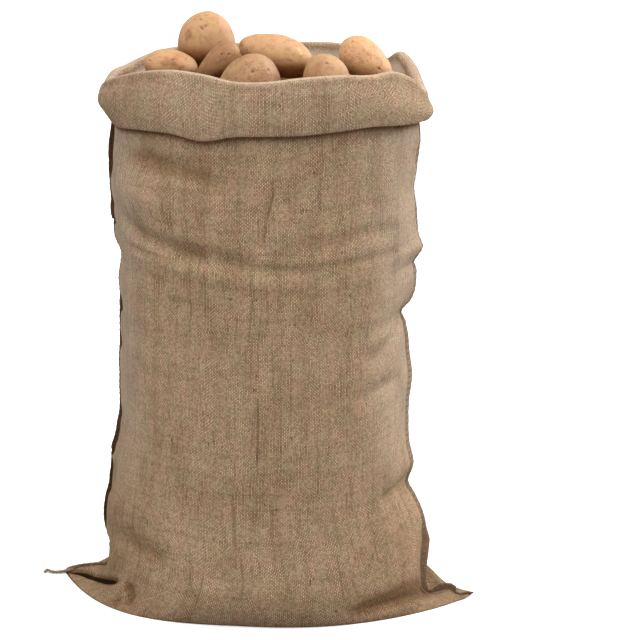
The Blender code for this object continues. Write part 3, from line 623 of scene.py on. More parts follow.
def standing_seam(side, front, back):
    """The sections of a standing seam from the floor to the neck, square to the line that it
    follows, and the frame of each: its root, its direction, its width and half its thickness."""
    end = ENDS[side]
    middle = (front[:, end] + back[:, end]) / 2
    climb = unit(np.gradient(middle, axis=0) * (1, 0, 1))
    sections, frames = [], []
    for row, tangent in enumerate(climb):
        height = middle[row, 2]
        width = shown_width(side, height)
        lean = math.radians(row_at(SEAMS[side], height).lean)
        square = side * np.array([tangent[2], 0, -tangent[0]])
        direction = math.cos(lean) * square + math.sin(lean) * np.array([0, -1.0, 0])
        if row == 0:
            direction = np.array([side, 0, 0.0])
        sections.append(seam_points(front[row, end], back[row, end], direction, width))
        half = (front[row, end] - back[row, end]) / 2
        frames.append((middle[row], direction, width, half))
    return sections, frames


def ring_of(front, back, left_section, right_section):
    """One closed row round the sack: back panel, left seam, front panel, right seam."""
    return np.concatenate([back, left_section[::-1], front[::-1], right_section])


def hem_line():
    """The height of the cuff's lower edge over each point of a ring."""
    plans = [body_line(panel, NECK) for panel in (FRONT, BACK)]
    angles = [np.degrees(np.arctan2(plan[:, 1], plan[:, 0])) for plan in plans]
    front, back = (row_at(EDGES, angle, 360).hem for angle in angles)
    left, right = (np.full(SEAM_POINTS, (front[end] + back[end]) / 2) for end in (-1, 0))
    return ring_of(front, back, left, right)


# What the material reads at each point: the painted shade that a fold gives it, how worn it is and
# how much painted highlight it has, how much painted light it gets inside, and how far below the
# cuff's edge it lies, for the painted shadow there, which is FAR where nothing hangs over it. The
# painted shade along the sewing comes last.
SEAM_POINTS = len(SEAM_SECTION)
FAR = 1.0
# The hem is worn; the rim's top gets a painted highlight, and so does the right seam.
WEAR_AND_HIGHLIGHT_PARTS = {"hem": 0.6, "rim": 0.8}
# Painted light on the inside of the sack, and a little on the rim and the cuff.
INSIDE_LIGHT_PARTS = {"inside": 1.0, "rim": 0.05, "cuff": 0.05}
RIGHT_SEAM_HIGHLIGHT = 0.9
HEM_LINE = hem_line()
no_panels, no_seam = np.zeros((2, PANEL_STEPS + 1)), np.zeros(SEAM_POINTS)
rings, readings = [], {"painted_fold_shade": [], "wear_and_highlight": [], "inner": [], "below_hem": []}


def add_ring(ring, painted_fold_shade=0.0, wear_and_highlight=0.0, inner=0.0, under_cuff=False):
    """One more row round the sack."""
    rings.append(ring)
    below_hem = HEM_LINE - ring[:, 2] if under_cuff else FAR
    for kept, values in zip(readings.values(), (painted_fold_shade, wear_and_highlight, inner, below_hem)):
        kept.append(np.broadcast_to(values, len(ring)))


(front_out, front_in, front_fold_shade), (back_out, back_in, back_fold_shade) = map(side_wall, (FRONT, BACK))
left_sections, left_frames = standing_seam(LEFT, front_out, back_out)
right_sections, right_frames = standing_seam(RIGHT, front_out, back_out)
for i in range(len(front_out)):
    # The painted shade that the folds give this ring.
    painted_fold_shade = ring_of(front_fold_shade[i], back_fold_shade[i], no_seam, no_seam) / CLOTH
    # The right seam's painted highlight.
    wear_and_highlight = ring_of(*no_panels, no_seam, no_seam + RIGHT_SEAM_HIGHLIGHT)
    add_ring(
        ring_of(front_out[i], back_out[i], left_sections[i], right_sections[i]),
        painted_fold_shade, wear_and_highlight, under_cuff=True,
    )

for i, (front, back) in enumerate(zip(mouth_rows(FRONT), mouth_rows(BACK))):
    sections = []
    for side in (LEFT, RIGHT):
        end, slim = ENDS[side], 1
        if front.part == "wall":
            reach = shown_width(side, front.points[end, 2])
        elif front.part == "hidden":
            reach = CUFF_SEAM_RISE * min(1, (i - UNDER_CUFF_ROWS + 2) / FOLD_ROWS)
        else:
            reach, slim = -GROOVE_DEPTH, GROOVE_SHARE
        direction = unit(front.normals[end] + back.normals[end])
        sections.append(seam_points(front.points[end], back.points[end], direction, reach, slim))
    add_ring(
        ring_of(front.points, back.points, *sections),
        wear_and_highlight=WEAR_AND_HIGHLIGHT_PARTS.get(front.part, 0.0),
        inner=INSIDE_LIGHT_PARTS.get(front.part, 0.0),
        under_cuff=front.part in ("wall", "hidden"),
    )

# The inside wall, under painted light.
for front, back in list(zip(front_in, back_in))[::-1]:
    sections = []
    for side in (LEFT, RIGHT):
        roots, outward = (front[ENDS[side]], back[ENDS[side]]), np.array([side, 0, 0.0])
        sections.append(seam_points(*roots, outward, GROOVE_DEPTH, GROOVE_SHARE))
    add_ring(ring_of(front, back, *sections), inner=1.0)
rings = np.array(rings)

# Places on the flat cloth, in metres: along it, measured up from the neck, and across it, with
# the front's middle at zero. Each seam's edge takes up an allowance of its own.
steps = np.linalg.norm(np.diff(rings, axis=0), axis=2)
along_cloth = np.concatenate([np.zeros((1, rings.shape[1])), np.cumsum(steps, axis=0)])
along_cloth -= along_cloth[BASE_STEPS + BODY_STEPS]
ALLOWANCE = 0.020
PERIOD = 2 * (PANEL_WIDTH + ALLOWANCE)
lip_across = np.linspace(0, ALLOWANCE, SEAM_POINTS + 2)[1:-1]
around = [PANEL_ACROSS, lip_across + PANEL_WIDTH]
around += [part + PERIOD / 2 for part in around] + [[PERIOD]]
across_cloth = np.concatenate(around) - PERIOD / 2 - PANEL_WIDTH / 2

COLUMNS = rings.shape[1]
points = [tuple(point) for point in rings.reshape(-1, 3)]
faces, face_places = [], []
for ring, column in itertools.product(range(len(rings) - 1), range(COLUMNS)):
    corners = [(ring, column), (ring, column + 1), (ring + 1, column + 1), (ring + 1, column)]
    faces.append(tuple(r * COLUMNS + c % COLUMNS for r, c in corners))
    face_places += [(across_cloth[c], along_cloth[r, c % COLUMNS]) for r, c in corners]


def close_under(ring_number, rows):
    """The bottom of the sack, from the front panel's line across the floor to the back one's."""
    first = ring_number * COLUMNS
    left = first + PANEL_STEPS + 1
    front = left + SEAM_POINTS
    right = front + PANEL_STEPS + 1
    tip = SEAM_POINTS // 2
    front_line = [right + k for k in range(tip, -1, -1)]
    front_line += [front + k for k in range(PANEL_STEPS, -1, -1)]
    front_line += [left + k for k in range(SEAM_POINTS - 1, tip - 1, -1)]
    back_line = [right + k for k in range(tip, SEAM_POINTS)]
    back_line += [first + k for k in range(PANEL_STEPS + 1)]
    back_line += [left + k for k in range(tip + 1)]
    across = across_cloth[np.array(front_line) - first]
    depth = along_cloth[ring_number, 0]
    ends = [np.array([points[k] for k in line]) for line in (front_line, back_line)]
    width = np.linalg.norm(ends[0] - ends[1], axis=1)
    lines = [(front_line, 0 * width)]
    for share in np.linspace(0, 1, rows + 1)[1:-1]:
        between = (ends[0] * (1 - share) + ends[1] * share)[1:-1]
        line = [front_line[0], *range(len(points), len(points) + len(between)), front_line[-1]]
        points.extend(tuple(point) for point in between)
        lines.append((line, width * min(share, 1 - share)))
    lines.append((back_line, 0 * width))
    for near, far in zip(lines[:-1], lines[1:]):
        for k in range(len(across) - 1):
            spots = {}
            for (line, drop), at in ((near, k), (near, k + 1), (far, k + 1), (far, k)):
                spots.setdefault(line[at], (across[at], depth - drop[at]))
            faces.append(tuple(spots))
            face_places.extend(spots.values())


# The outside and the inside of the bottom.
UNDER_ROWS = 8
close_under(0, UNDER_ROWS)
close_under(len(rings) - 1, UNDER_ROWS)


def mesh_object(name, points, faces):
    """A smooth-shaded object with these points and faces."""
    data = bpy.data.meshes.new(name)
    data.from_pydata(points, [], faces)
    data.shade_smooth()
    thing = bpy.data.objects.new(name, data)
    bpy.context.scene.collection.objects.link(thing)
    return thing


def turn_outwards(thing):
    """Face a closed mesh outwards."""
    mesh = bmesh.new()
    mesh.from_mesh(thing.data)
    bmesh.ops.recalc_face_normals(mesh, faces=mesh.faces)
    mesh.to_mesh(thing.data)
    mesh.free()


def mark(thing, name, values):
    """Store one number for each point of a mesh, for the material to read."""
    kept = thing.data.attributes.new(name, "FLOAT", "POINT")
    padded = np.zeros(len(thing.data.vertices), np.float32)
    padded[: len(values)] = values
    kept.data.foreach_set("value", padded)


# How much painted shade the sewn edges bear at each height. The very edge is darker.
Tone = namedtuple("Tone", "height left right")
SEAM_TONES = table(
    Tone,
    (0.0, 0.05, 0.7), (0.006, 0.08, 0.8), (0.012, 0.12, 0.7), (0.035, 0.3, 0.6), (0.06, 0.6, 0.6),
    (0.09, 1.0, 0.45), (0.11, 1.0, 0.3), (0.15, 1.0, 0.35), (0.166, 1.0, 0.6), (0.18, 1.0, 0.25),
    (0.345, 0.8, 0.2), (0.36, 0.95, 0.25), (0.38, 0.9, 0.3), (0.4, 0.9, 0.6), (0.415, 0.9, 0.25),
    (0.64, 1.0, 0.3), (0.66, 1.0, 0.1), (0.675, 0.2, 0.0),
)
EDGE_TONES = {"left": 0.95, "right": 0.60}
EDGE_TONE_FROM = 0.060
# The share of a seam's tone at each point of its section, from the front round to the back.
LIP_TONES = (1.0, 1.0, 1.0, 1.0, 1.0, 1.0, 0.8)


def seam_tones(height, name):
    """The tones of one section of a seam, by the height at which it lies."""
    heights, tones = zip(*((tone.height, getattr(tone, name)) for tone in SEAM_TONES))
    level = np.interp(height, heights, tones)
    section = level * np.array(LIP_TONES)
    edge = EDGE_TONES[name] * min(1, height / EDGE_TONE_FROM)
    section[SEAM_POINTS // 2] = max(level, edge)
    return section


# Painted shade along both seams, by height, from the tables above.
readings["sewn"] = np.zeros(rings.shape[:2])
for k in range(BASE_STEPS + BODY_STEPS + UNDER_CUFF_ROWS + 1):
    height = rings[k, PANEL_STEPS + 1, 2]
    tones = (seam_tones(height, name) for name in ("left", "right"))
    readings["sewn"][k] = ring_of(*no_panels, *tones)
cloth = mesh_object("hessian_cloth", points, faces)
layer = cloth.data.uv_layers.new(name="flat_cloth")
layer.data.foreach_set("uv", np.array(face_places, np.float32).ravel())
for name, values in readings.items():
    mark(cloth, name, np.ravel(values))
turn_outwards(cloth)


class Signal:
    """One socket of a material's nodes. Arithmetic on it adds the Math nodes that work it out."""

    def __init__(self, tree, socket):
        self.tree, self.socket = tree, socket

    def node(self, kind, settings, inputs, output=0):
        """Add a node: its type, its settings, its sockets' values or links, and what it gives."""
        made = self.tree.nodes.new(kind)
        for name, value in settings.items():
            setattr(made, name, value)
        for name, value in inputs.items():
            self.feed(made.inputs[name], value)
        return Signal(self.tree, made.outputs[output])

    def feed(self, socket, value):
        """Give a socket a value of its own, or link a signal to it."""
        if isinstance(value, Signal):
            self.tree.links.new(value.socket, socket)
        else:
            socket.default_value = value

    def math(self, operation, *values):
        return self.node("ShaderNodeMath", {"operation": operation}, dict(enumerate(values)))

    def __add__(self, other):
        return self.math("ADD", self, other)

    def __sub__(self, other):
        return self.math("SUBTRACT", self, other)

    def __rsub__(self, other):
        return self.math("SUBTRACT", other, self)

    def __mul__(self, other):
        return self.math("MULTIPLY", self, other)

    def __truediv__(self, other):
        return self.math("DIVIDE", self, other)

    __radd__, __rmul__ = __add__, __mul__

    def step(self, low, high):
        """0 below low, 1 above high and smooth between them."""
        settings = {"interpolation_type": "SMOOTHSTEP"}
        limits = {"Value": self, "From Min": low, "From Max": high}
        return self.node("ShaderNodeMapRange", settings, limits)

    def part(self, axis):
        """One coordinate of a vector."""
        return self.node("ShaderNodeSeparateXYZ", {}, {0: self}, axis)

    def vector(self, x, y, z=0.0):
        return self.node("ShaderNodeCombineXYZ", {}, {0: x, 1: y, 2: z})

    def noise(self, where, scale, detail=2.0, roughness=0.5):
        """Cloudy noise between 0 and 1."""
        settings = {"noise_dimensions": "3D"}
        inputs = {"Vector": where, "Scale": scale, "Detail": detail, "Roughness": roughness}
        return self.node("ShaderNodeTexNoise", settings, inputs)

    def stored(self, names):
        """The numbers that mark() stored under these names."""
        kind = "ShaderNodeAttribute"
        return [self.node(kind, {"attribute_name": name}, {}, 2) for name in names]

    def blend(self, first, second, blend_type="MIX"):
        """Two colours blended by this factor."""
        settings = {"data_type": "RGBA", "blend_type": blend_type}
        return self.node("ShaderNodeMix", settings, {0: self, 6: first, 7: second}, 2)


def new_material(name):
    """A material and a first signal from which its others are made."""
    material = bpy.data.materials.new(name)
    material.use_nodes = True
    return material, Signal(material.node_tree, None)


def finished(material, start, colour, roughness, specular, bump=None):
    """The material with what its shader shows: a colour, a gloss and small relief. The bump
    gives the relief's strength, its height in metres and its shape."""
    values = {"Base Color": colour, "Roughness": roughness, "Specular IOR Level": specular}
    if bump:
        settings = dict(zip(("Strength", "Distance", "Height"), bump))
        values["Normal"] = start.node("ShaderNodeBump", {}, settings)
    for name, value in values.items():
        start.feed(start.tree.nodes["Principled BSDF"].inputs[name], value)
    return material


def rgb(*colour):
    return (*colour, 1.0)


def grey(level):
    return rgb(level, level, level)


# How a layer goes over the colours below it: it covers them, or it tints them.
OVER, TINT = "MIX", "MULTIPLY"


def layered(colour, *layers):
    """A colour under layers: each one's strength, its colour and how it goes on."""
    for strength, shade, way in layers:
        colour = strength.blend(colour, shade, way)
    return colour


def colour_times(start, colour, factor):
    """A colour times another one."""
    settings = {"data_type": "RGBA", "blend_type": TINT}
    return start.node("ShaderNodeMix", settings, {0: 1.0, 6: colour, 7: factor}, 2)


# The weave: a plain one of two sets of jute yarns, the same distance apart both ways. They wander
# sideways by a share of that distance.
YARN_PITCH = 0.0022
WANDER = 2.6
# A yarn's height: at its middle, how far it swings over and under at each crossing, and how thin
# it is at least and how much thicker in its slubs, which come in waves to the metre. In their
# noise two yarns lie far apart, so that no two are alike.
YARN_LEVEL, YARN_SWING = 0.60, 0.40
SLUB_THIN, SLUB_SWING = 0.60, 0.80
SLUB_WAVES, YARNS_APART = 60.0, 3.7
BUMP_HEIGHT = 0.0005
WARP_YARN = rgb(0.455, 0.320, 0.203)
WEFT_YARN = rgb(0.269, 0.181, 0.110)
DARK_YARN = rgb(0.115, 0.068, 0.036)
# What the yarns and the gaps between them look like from farther off, in the less clear patches.
GAPS_LEAVE = 0.86
MEAN_TONE = rgb(*((a + b) / 2 * GAPS_LEAVE for a, b in zip(WARP_YARN[:3], WEFT_YARN[:3])))
GAP_SHADE = rgb(0.075, 0.045, 0.025)
BARK_SPECK = rgb(0.060, 0.034, 0.018)
# Worn fibre on the hem, and painted highlight on the rim's top and the right seam.
WEAR_AND_HIGHLIGHT_FIBRE = rgb(0.520, 0.400, 0.310)
OLIVE, PINKISH = rgb(0.980, 1.010, 0.96), rgb(1.045, 0.982, 0.985)
SOILED = rgb(0.80, 0.77, 0.73)
PAIR_SHADE = rgb(0.72, 0.69, 0.66)
BANDED = rgb(0.90, 0.885, 0.87)
# Painted shade in the folds, and deeper painted shade in the slits and hollows.
FOLD_SHADE_TINT = rgb(0.63, 0.53, 0.42)
DEEP_FOLD_SHADE_TINT = rgb(0.12, 0.085, 0.04)
# Painted shade on the sewn edges.
PAINTED_SEAM_SHADE = rgb(0.21, 0.14, 0.08)
# Painted light on the inside: brighter, and warmer over it.
INSIDE_PAINTED_BRIGHTENING = rgb(1.60, 1.68, 1.74)
INSIDE_PAINTED_LIGHT = rgb(0.78, 0.675, 0.575)
# Painted sheen on the flanks.
PAINTED_FLANK_SHEEN = rgb(0.52, 0.48, 0.43)
# Painted shade on the cloth near the floor.
PAINTED_SHADE_NEAR_FLOOR = rgb(0.735, 0.72, 0.705)
# Darker low on the flanks; on the cuff's left end it is painted shade.
DARKER_SIDES = rgb(0.87, 0.85, 0.84)
# Painted shadow on the wall just below the cuff's lower edge.
PAINTED_HEM_SHADOW = rgb(0.50, 0.39, 0.29)

# Single dark warp yarns on the front: where each is at its lower end, how far up it starts and
# ends, how wide it is, how dark, and how far aside it has run at a metre above that end.
Streak = namedtuple("Streak", "across bottom top width shade lean", defaults=[0])
STREAKS = table(
    Streak,
    (0.002, 0.395, 0.498, 0.0016, 0.55), (0.014, 0.236, 0.328, 0.0024, 0.8),
    (-0.014, 0.11, 0.176, 0.0018, 0.6), (-0.009, 0.038, 0.102, 0.002, 0.55),
    (-0.046, 0.25, 0.282, 0.002, 0.6), (0.114, 0.04, 0.106, 0.0018, 0.5),
    (-0.06, 0.452, 0.494, 0.0018, 0.5), (-0.105, 0.538, 0.584, 0.002, 0.5),
    (0.042, 0.186, 0.194, 0.003, 0.9), (0.058, 0.3, 0.42, 0.0016, 0.4),
    (-0.088, 0.14, 0.24, 0.0018, 0.4), (0.019, 0.528, 0.575, 0.003, 0.4, 0.2),
    (0.0275, 0.566, 0.6, 0.0024, 0.8, 0.28),
)
# A streak fades in and out over this length, and is darkest over this share of its width.
STREAK_FADE = 0.006
STREAK_CORE = 0.3


def hessian(name):
    """Plain-woven jute: round yarns over and under each other, uneven, with dark warp yarns."""
    material, start = new_material(name)
    flat = start.node("ShaderNodeUVMap", {"uv_map": "flat_cloth"}, {})
    across, along = flat.part(0), flat.part(1)
    place = start.node("ShaderNodeNewGeometry", {}, {})
    sideways, up = place.part(0), place.part(2)

    def clouds(x, y, seed, detail=2.0):
        return start.noise(start.vector(x, y, seed), 1.0, detail)

    def cloudy(waves_across, waves_along, seed, detail=2.0):
        """Noise with so many waves to the metre across the cloth and along it."""
        return clouds(across * waves_across, along * waves_along, seed, detail)

    warp_at = across / YARN_PITCH + (cloudy(22.0, 34.0, 0.0) - 0.5) * WANDER
    weft_at = along / YARN_PITCH + (cloudy(34.0, 22.0, 5.0) - 0.5) * WANDER
    warp, weft = (start.math("FLOOR", at) for at in (warp_at, weft_at))
    crossing = start.node("ShaderNodeTexWhiteNoise", {}, {"Vector": start.vector(warp, weft)})

    # Thick and thin places along each yarn, and which of the two lies on top.
    warp_slub = clouds(warp * YARNS_APART, along * SLUB_WAVES, 1.0) * SLUB_SWING + SLUB_THIN
    weft_slub = clouds(across * SLUB_WAVES, weft * YARNS_APART, 2.0) * SLUB_SWING + SLUB_THIN
    warp_sine, weft_sine = (start.math("SINE", at * math.pi) for at in (warp_at, weft_at))
    over = warp_sine * weft_sine * YARN_SWING
    warp_round, weft_round = (start.math("ABSOLUTE", sine) for sine in (warp_sine, weft_sine))
    warp_height = warp_round * (YARN_LEVEL + over) * warp_slub
    weft_height = weft_round * (YARN_LEVEL - over) * weft_slub
    height = start.math("MAXIMUM", warp_height, weft_height)
    on_top = (warp_height - weft_height).step(-0.12, 0.12)

    # The yarns' tones, clearer in some patches than in others.
    yarns = height.step(0.16, 0.55).blend(GAP_SHADE, on_top.blend(WEFT_YARN, WARP_YARN))
    paired = warp_sine.step(-0.4, 0.4) * cloudy(16.0, 8.0, 14.0).step(0.48, 0.66)
    yarns = layered(yarns, (paired * 0.8, PAIR_SHADE, TINT))
    clear = cloudy(50.0, 40.0, 12.0).step(0.38, 0.60) * 0.80 + 0.20
    lightness = 0.76 + crossing * 0.48
    lightness = start.vector(lightness, lightness, lightness)
    colour = colour_times(start, clear.blend(MEAN_TONE, yarns), lightness)

    # Some warp yarns are dark for part of their length, and the cloth is mottled.
    chosen = start.node("ShaderNodeTexWhiteNoise", {"noise_dimensions": "1D"}, {"W": warp})
    stretch = clouds(warp * 5.3, along * 26.0, 3.0).step(0.47, 0.62)
    patch = cloudy(40.0, 30.0, 7.0, 1.0)
    speck = cloudy(420.0, 150.0, 8.0, 1.0) + cloudy(60.0, 60.0, 9.0, 0.0) * 0.5
    colour = layered(
        colour,
        (chosen.step(0.78, 0.95) * stretch * 0.42, DARK_YARN, OVER),
        (cloudy(150.0, 9.0, 4.0).step(0.52, 0.74) * 0.75, SOILED, TINT),
        (cloudy(24.0, 14.0, 6.0, 3.0).step(0.42, 0.70) * 0.7, SOILED, TINT),
        (cloudy(60.0, 3.0, 15.0).step(0.48, 0.62) * 0.8, BANDED, TINT),
        (cloudy(4.0, 75.0, 16.0).step(0.50, 0.64) * 0.8, BANDED, TINT),
        (patch.step(0.50, 0.60), PINKISH, TINT),
        (1 - patch.step(0.40, 0.50), OLIVE, TINT),
        (speck.step(0.99, 1.06) * 0.7, BARK_SPECK, OVER),
    )
    for streak in STREAKS:
        aside = across - streak.across - (up - streak.bottom) * streak.lean
        aside = start.math("ABSOLUTE", aside).step(streak.width * STREAK_CORE, streak.width)
        begun = up.step(streak.bottom, streak.bottom + STREAK_FADE)
        ended = up.step(streak.top - STREAK_FADE, streak.top)
        strength = (1 - aside) * (begun - ended) * streak.shade * (0.4 + on_top * 0.6)
        colour = strength.blend(colour, DARK_YARN)

    # Painted shade in the folds, along the sewing, under the cuff and near the floor; wear on the hem
    # with painted highlight on the rim's top and the right seam; painted sheen on the flanks; painted
    # light inside; darker low on the flanks, and painted shade on the cuff's left end.
    painted_fold_shade, wear_and_highlight, inner, below_hem, sewn = start.stored(readings)
    aside, cuffed = start.math("ABSOLUTE", sideways), up.step(0.655, 0.665)
    # Where painted sheen lies on the flanks, above the base and below the cuff.
    loose = aside.step(0.12, 0.20) * up.step(0.10, 0.30) * (1 - cuffed)
    flank = aside.step(0.09, 0.19) - aside.step(0.21, 0.25) * 0.8
    colour = layered(
        colour,
        (wear_and_highlight * 0.45, WEAR_AND_HIGHLIGHT_FIBRE, OVER),
        (loose * 0.16, PAINTED_FLANK_SHEEN, OVER),
        (sewn, PAINTED_SEAM_SHADE, TINT),
        (painted_fold_shade.step(0.8, 4.6) * 0.8, FOLD_SHADE_TINT, TINT),
        (painted_fold_shade.step(5.0, 8.5), DEEP_FOLD_SHADE_TINT, TINT),
        (inner, INSIDE_PAINTED_BRIGHTENING, TINT),
        (inner * 0.60, INSIDE_PAINTED_LIGHT, OVER),
        (1 - below_hem.step(0.004, 0.011), PAINTED_HEM_SHADOW, TINT),
        (1 - up.step(0.0, 0.075), PAINTED_SHADE_NEAR_FLOOR, TINT),
        (flank * (1 - up.step(0.12, 0.30)), DARKER_SIDES, TINT),
        ((sideways * -1).step(0.08, 0.18) * cuffed, DARKER_SIDES, TINT),
    )
    relief = height + clouds(across * 2500.0, along * 2500.0, 9.0) * 0.25
    return finished(material, start, colour, 0.95, 0.05, (0.9, BUMP_HEIGHT, relief))


cloth.data.materials.append(hessian("woven_jute"))
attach(cloth, "root")
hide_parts("sack_cloth")


# The side seams' sewing
#
# Jute twine whipped over both sewn edges, from the ears up to the neck. At the left ear its
# end is left hanging out as a short tail.

STITCH_PITCH = 0.0085
# The twine's radius, how far it sinks into the cloth and how uneven it is, as shares of the
# radius, and how fast it varies from stitch to stitch.
TWINE_RADIUS = 0.0005
TWINE_SINK = 0.6
TWINE_UNEVEN = 0.15
TWINE_RHYTHM = 1.7
TWINE_SIDES = 6
# One stitch: how far along the seam, how far out and how far to the front each point lies.
Whip = namedtuple("Whip", "along out side")
WHIP = table(
    Whip,
    (0.0, 0.2, 0.55), (0.08, 0.34, 1.0), (0.22, 0.72, 1.0), (0.34, 0.92, 0.72), (0.42, 1.04, 0.0),
    (0.5, 0.92, -0.72), (0.62, 0.72, -1.0), (0.76, 0.34, -1.0), (0.84, 0.2, -0.55),
)


# Any direction that no tube starts in.
CLEAR_DIRECTION = (0.3, 0.2, 1.0)


def tube(path, radii, sides):
    """Points and faces of a closed tube along a path, with a radius for each point."""
    path = np.asarray(path, float)
    along = unit(np.gradient(path, axis=0))
    side = np.cross(along[0], CLEAR_DIRECTION)
    rings, turn = [], np.linspace(0, 2 * np.pi, sides, endpoint=False)[:, None]
    for point, tangent, radius in zip(path, along, radii):
        side = side - tangent * side.dot(tangent)
        side = side / np.linalg.norm(side)
        rings.append(point + radius * (np.cos(turn) * side + np.sin(turn) * np.cross(tangent, side)))
    faces = []
    for k in range(len(path) - 1):
        for a in range(sides):
            b = (a + 1) % sides
            faces.append((k * sides + a, k * sides + b, (k + 1) * sides + b, (k + 1) * sides + a))
    last = (len(path) - 1) * sides
    faces.append(tuple(range(sides))[::-1])
    faces.append(tuple(range(last, last + sides)))
    return np.concatenate(rings), faces


def joined(parts):
    """Several lists of points and faces as one."""
    points, faces, count = [], [], 0
    for part_points, part_faces in parts:
        points.append(part_points)
        faces += [tuple(corner + count for corner in face) for face in part_faces]
        count += len(part_points)
    return np.concatenate(points), faces


def whip_stitches(frames):
    """Every stitch over one seam."""
    roots, directions, widths, halves = (np.array(part) for part in zip(*frames))
    lengths = lengths_along(roots)
    along, outs, sides = np.array(WHIP).T
    parts = []
    for number in range(1, int(lengths[-1] / STITCH_PITCH)):
        at = (number + along) * STITCH_PITCH
        root, out, half = (vectors_at(at, lengths, v) for v in (roots, directions, halves))
        thick = np.interp(at, lengths, np.linalg.norm(halves, axis=1))
        lift = (thick + TWINE_RADIUS * (1 - TWINE_SINK)) / thick
        reach = np.interp(at, lengths, widths) * outs
        path = root + out * reach[:, None] + half * (lift * sides)[:, None]
        wave = np.sin(number * TWINE_RHYTHM + np.arange(len(WHIP)))
        parts.append(tube(path, TWINE_RADIUS * (1 + TWINE_UNEVEN * wave), TWINE_SIDES))
    return joined(parts)


TWINE_FIBRE = rgb(0.300, 0.210, 0.135)
TWINE_SHADE = rgb(0.150, 0.096, 0.058)


def jute_twine(name, shade):
    """Twisted jute, darker between its fibres. Shade darkens the whole of it."""
    material, start = new_material(name)
    where = start.node("ShaderNodeNewGeometry", {}, {})
    fibres = start.noise(where, 900.0, 3.0, 0.6)
    clumps = start.noise(where, 160.0, 2.0)
    light, dark = (rgb(*(c * shade for c in tone[:3])) for tone in (TWINE_FIBRE, TWINE_SHADE))
    colour = (fibres * 0.7 + clumps * 0.5).step(0.4, 0.8).blend(dark, light)
    return finished(material, start, colour, 0.95, 0.15, (0.7, 0.0004, fibres))


def sewn_piece(name, shape, twine):
    """A piece of twine in the cloth."""
    piece = mesh_object(name, *shape)
    turn_outwards(piece)
    piece.data.materials.append(twine)
    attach(piece, "root")
    return piece


# Both seams' twine is darkened as painted shade, the left one's far more.
for side_name, frames, shade in (("left", left_frames, 0.30), ("right", right_frames, 0.75)):
    twine = jute_twine(f"{side_name}_seam_twine", shade)
    sewn_piece(f"{side_name}_seam_stitches", whip_stitches(frames), twine)

# The loose end: two strands twisted together, that lie on the floor and curl up at the tip.
TAIL_PATH = (
    (-0.282, -0.003, 0.0044), (-0.289, -0.005, 0.0038), (-0.295, -0.008, 0.0032),
    (-0.301, -0.01, 0.0029), (-0.307, -0.011, 0.0028), (-0.313, -0.01, 0.0028),
    (-0.318, -0.007, 0.0036), (-0.321, -0.008, 0.003), (-0.323, -0.012, 0.002),
)
# A strand's radius, how far it lies from the tail's middle, and the length of one full turn.
TAIL_STRAND = 0.0014
TAIL_SPREAD = 0.75 * TAIL_STRAND
TAIL_TWIST = 0.011
TAIL_POINTS = 46
TAIL_SIDES = 8
# Each strand thins out at the tip, over this length and down to this share of its radius.
TAIL_TAPER = 0.002
TAIL_TIP_SHARE = 0.35


def twisted_tail():
    """Both strands of the loose end."""
    line = np.array(TAIL_PATH)
    at = np.linspace(0, len(line) - 1, TAIL_POINTS)
    core = np.stack([smooth_curve(np.arange(len(line)), line[:, k], at) for k in range(3)], axis=1)
    along = unit(np.gradient(core, axis=0))
    level = unit(np.cross(along, (0, 0, 1.0)))
    upward = np.cross(level, along)
    length = lengths_along(core)
    thinning = (length[-1] - length) / TAIL_TAPER + TAIL_TIP_SHARE
    parts = []
    for start_turn in (0, math.pi):
        turn = (length / TAIL_TWIST * 2 * math.pi + start_turn)[:, None]
        strand = core + TAIL_SPREAD * (np.cos(turn) * level + np.sin(turn) * upward)
        parts.append(tube(strand, TAIL_STRAND * np.clip(thinning, TAIL_TIP_SHARE, 1), TAIL_SIDES))
    return joined(parts)


sewn_piece("thread_tail", twisted_tail(), jute_twine("tail_twine", 1.0))


# The potatoes
#
# The top layer that shows in the mouth: washed potatoes, 60 to 100 mm long, with eyes, skin
# pores and bruises. They lie on the hidden ones, each in the place of its solid.

# Potatoes: middle, half length, half width and half height, turn and tilt in degrees, and taper.
Potato = namedtuple("Potato", "x y z length width height turn tilt taper")
POTATOES = {
    "top": Potato(-0.079, 0.011, 0.7655, 0.0388, 0.038, 0.039, 0, -85, -0.11),
    "left": Potato(-0.1185, -0.0445, 0.7397, 0.035, 0.033, 0.0212, 8, 7, -0.07),
    "slanted": Potato(-0.0545, -0.069, 0.7442, 0.038, 0.023, 0.0182, 6, -43, 0.31),
    "front": Potato(-0.0055, -0.112, 0.7245, 0.0413, 0.038, 0.04, 0, -11, 0.21),
    "long": Potato(0.018, -0.03, 0.754, 0.05, 0.031, 0.0268, -4, 15, 0.13),
    "small": Potato(0.093, -0.1, 0.734, 0.0294, 0.032, 0.0325, 20, -4, -0.1),
    "pear": Potato(0.1403, -0.045, 0.7473, 0.0418, 0.031, 0.0251, -10, 41, -0.22),
    "back_left": Potato(-0.137, 0.042, 0.711, 0.037, 0.032, 0.028, 60, 4, 0.05),
    "back": Potato(-0.068, 0.096, 0.711, 0.04, 0.031, 0.029, 12, -6, 0.06),
    "back_middle": Potato(0.018, 0.094, 0.709, 0.034, 0.036, 0.031, 80, 5, 0.05),
    "back_right": Potato(0.094, 0.074, 0.695, 0.039, 0.03, 0.028, -25, 8, 0.08),
    "right": Potato(0.152, 0.018, 0.7055, 0.034, 0.029, 0.026, 75, 0, 0.04),
    "middle": Potato(-0.025, 0.0419, 0.7297, 0.035, 0.03, 0.027, 35, -8, 0.05),
    "middle_right": Potato(0.072, 0.0, 0.7155, 0.037, 0.03, 0.028, -15, 0, 0.05),
    "low_left": Potato(-0.148, -0.032, 0.7003, 0.034, 0.024, 0.026, 75, 0, 0.04),
    "low_right": Potato(0.141, -0.07, 0.6946, 0.033, 0.024, 0.027, 38, 0, 0.04),
}
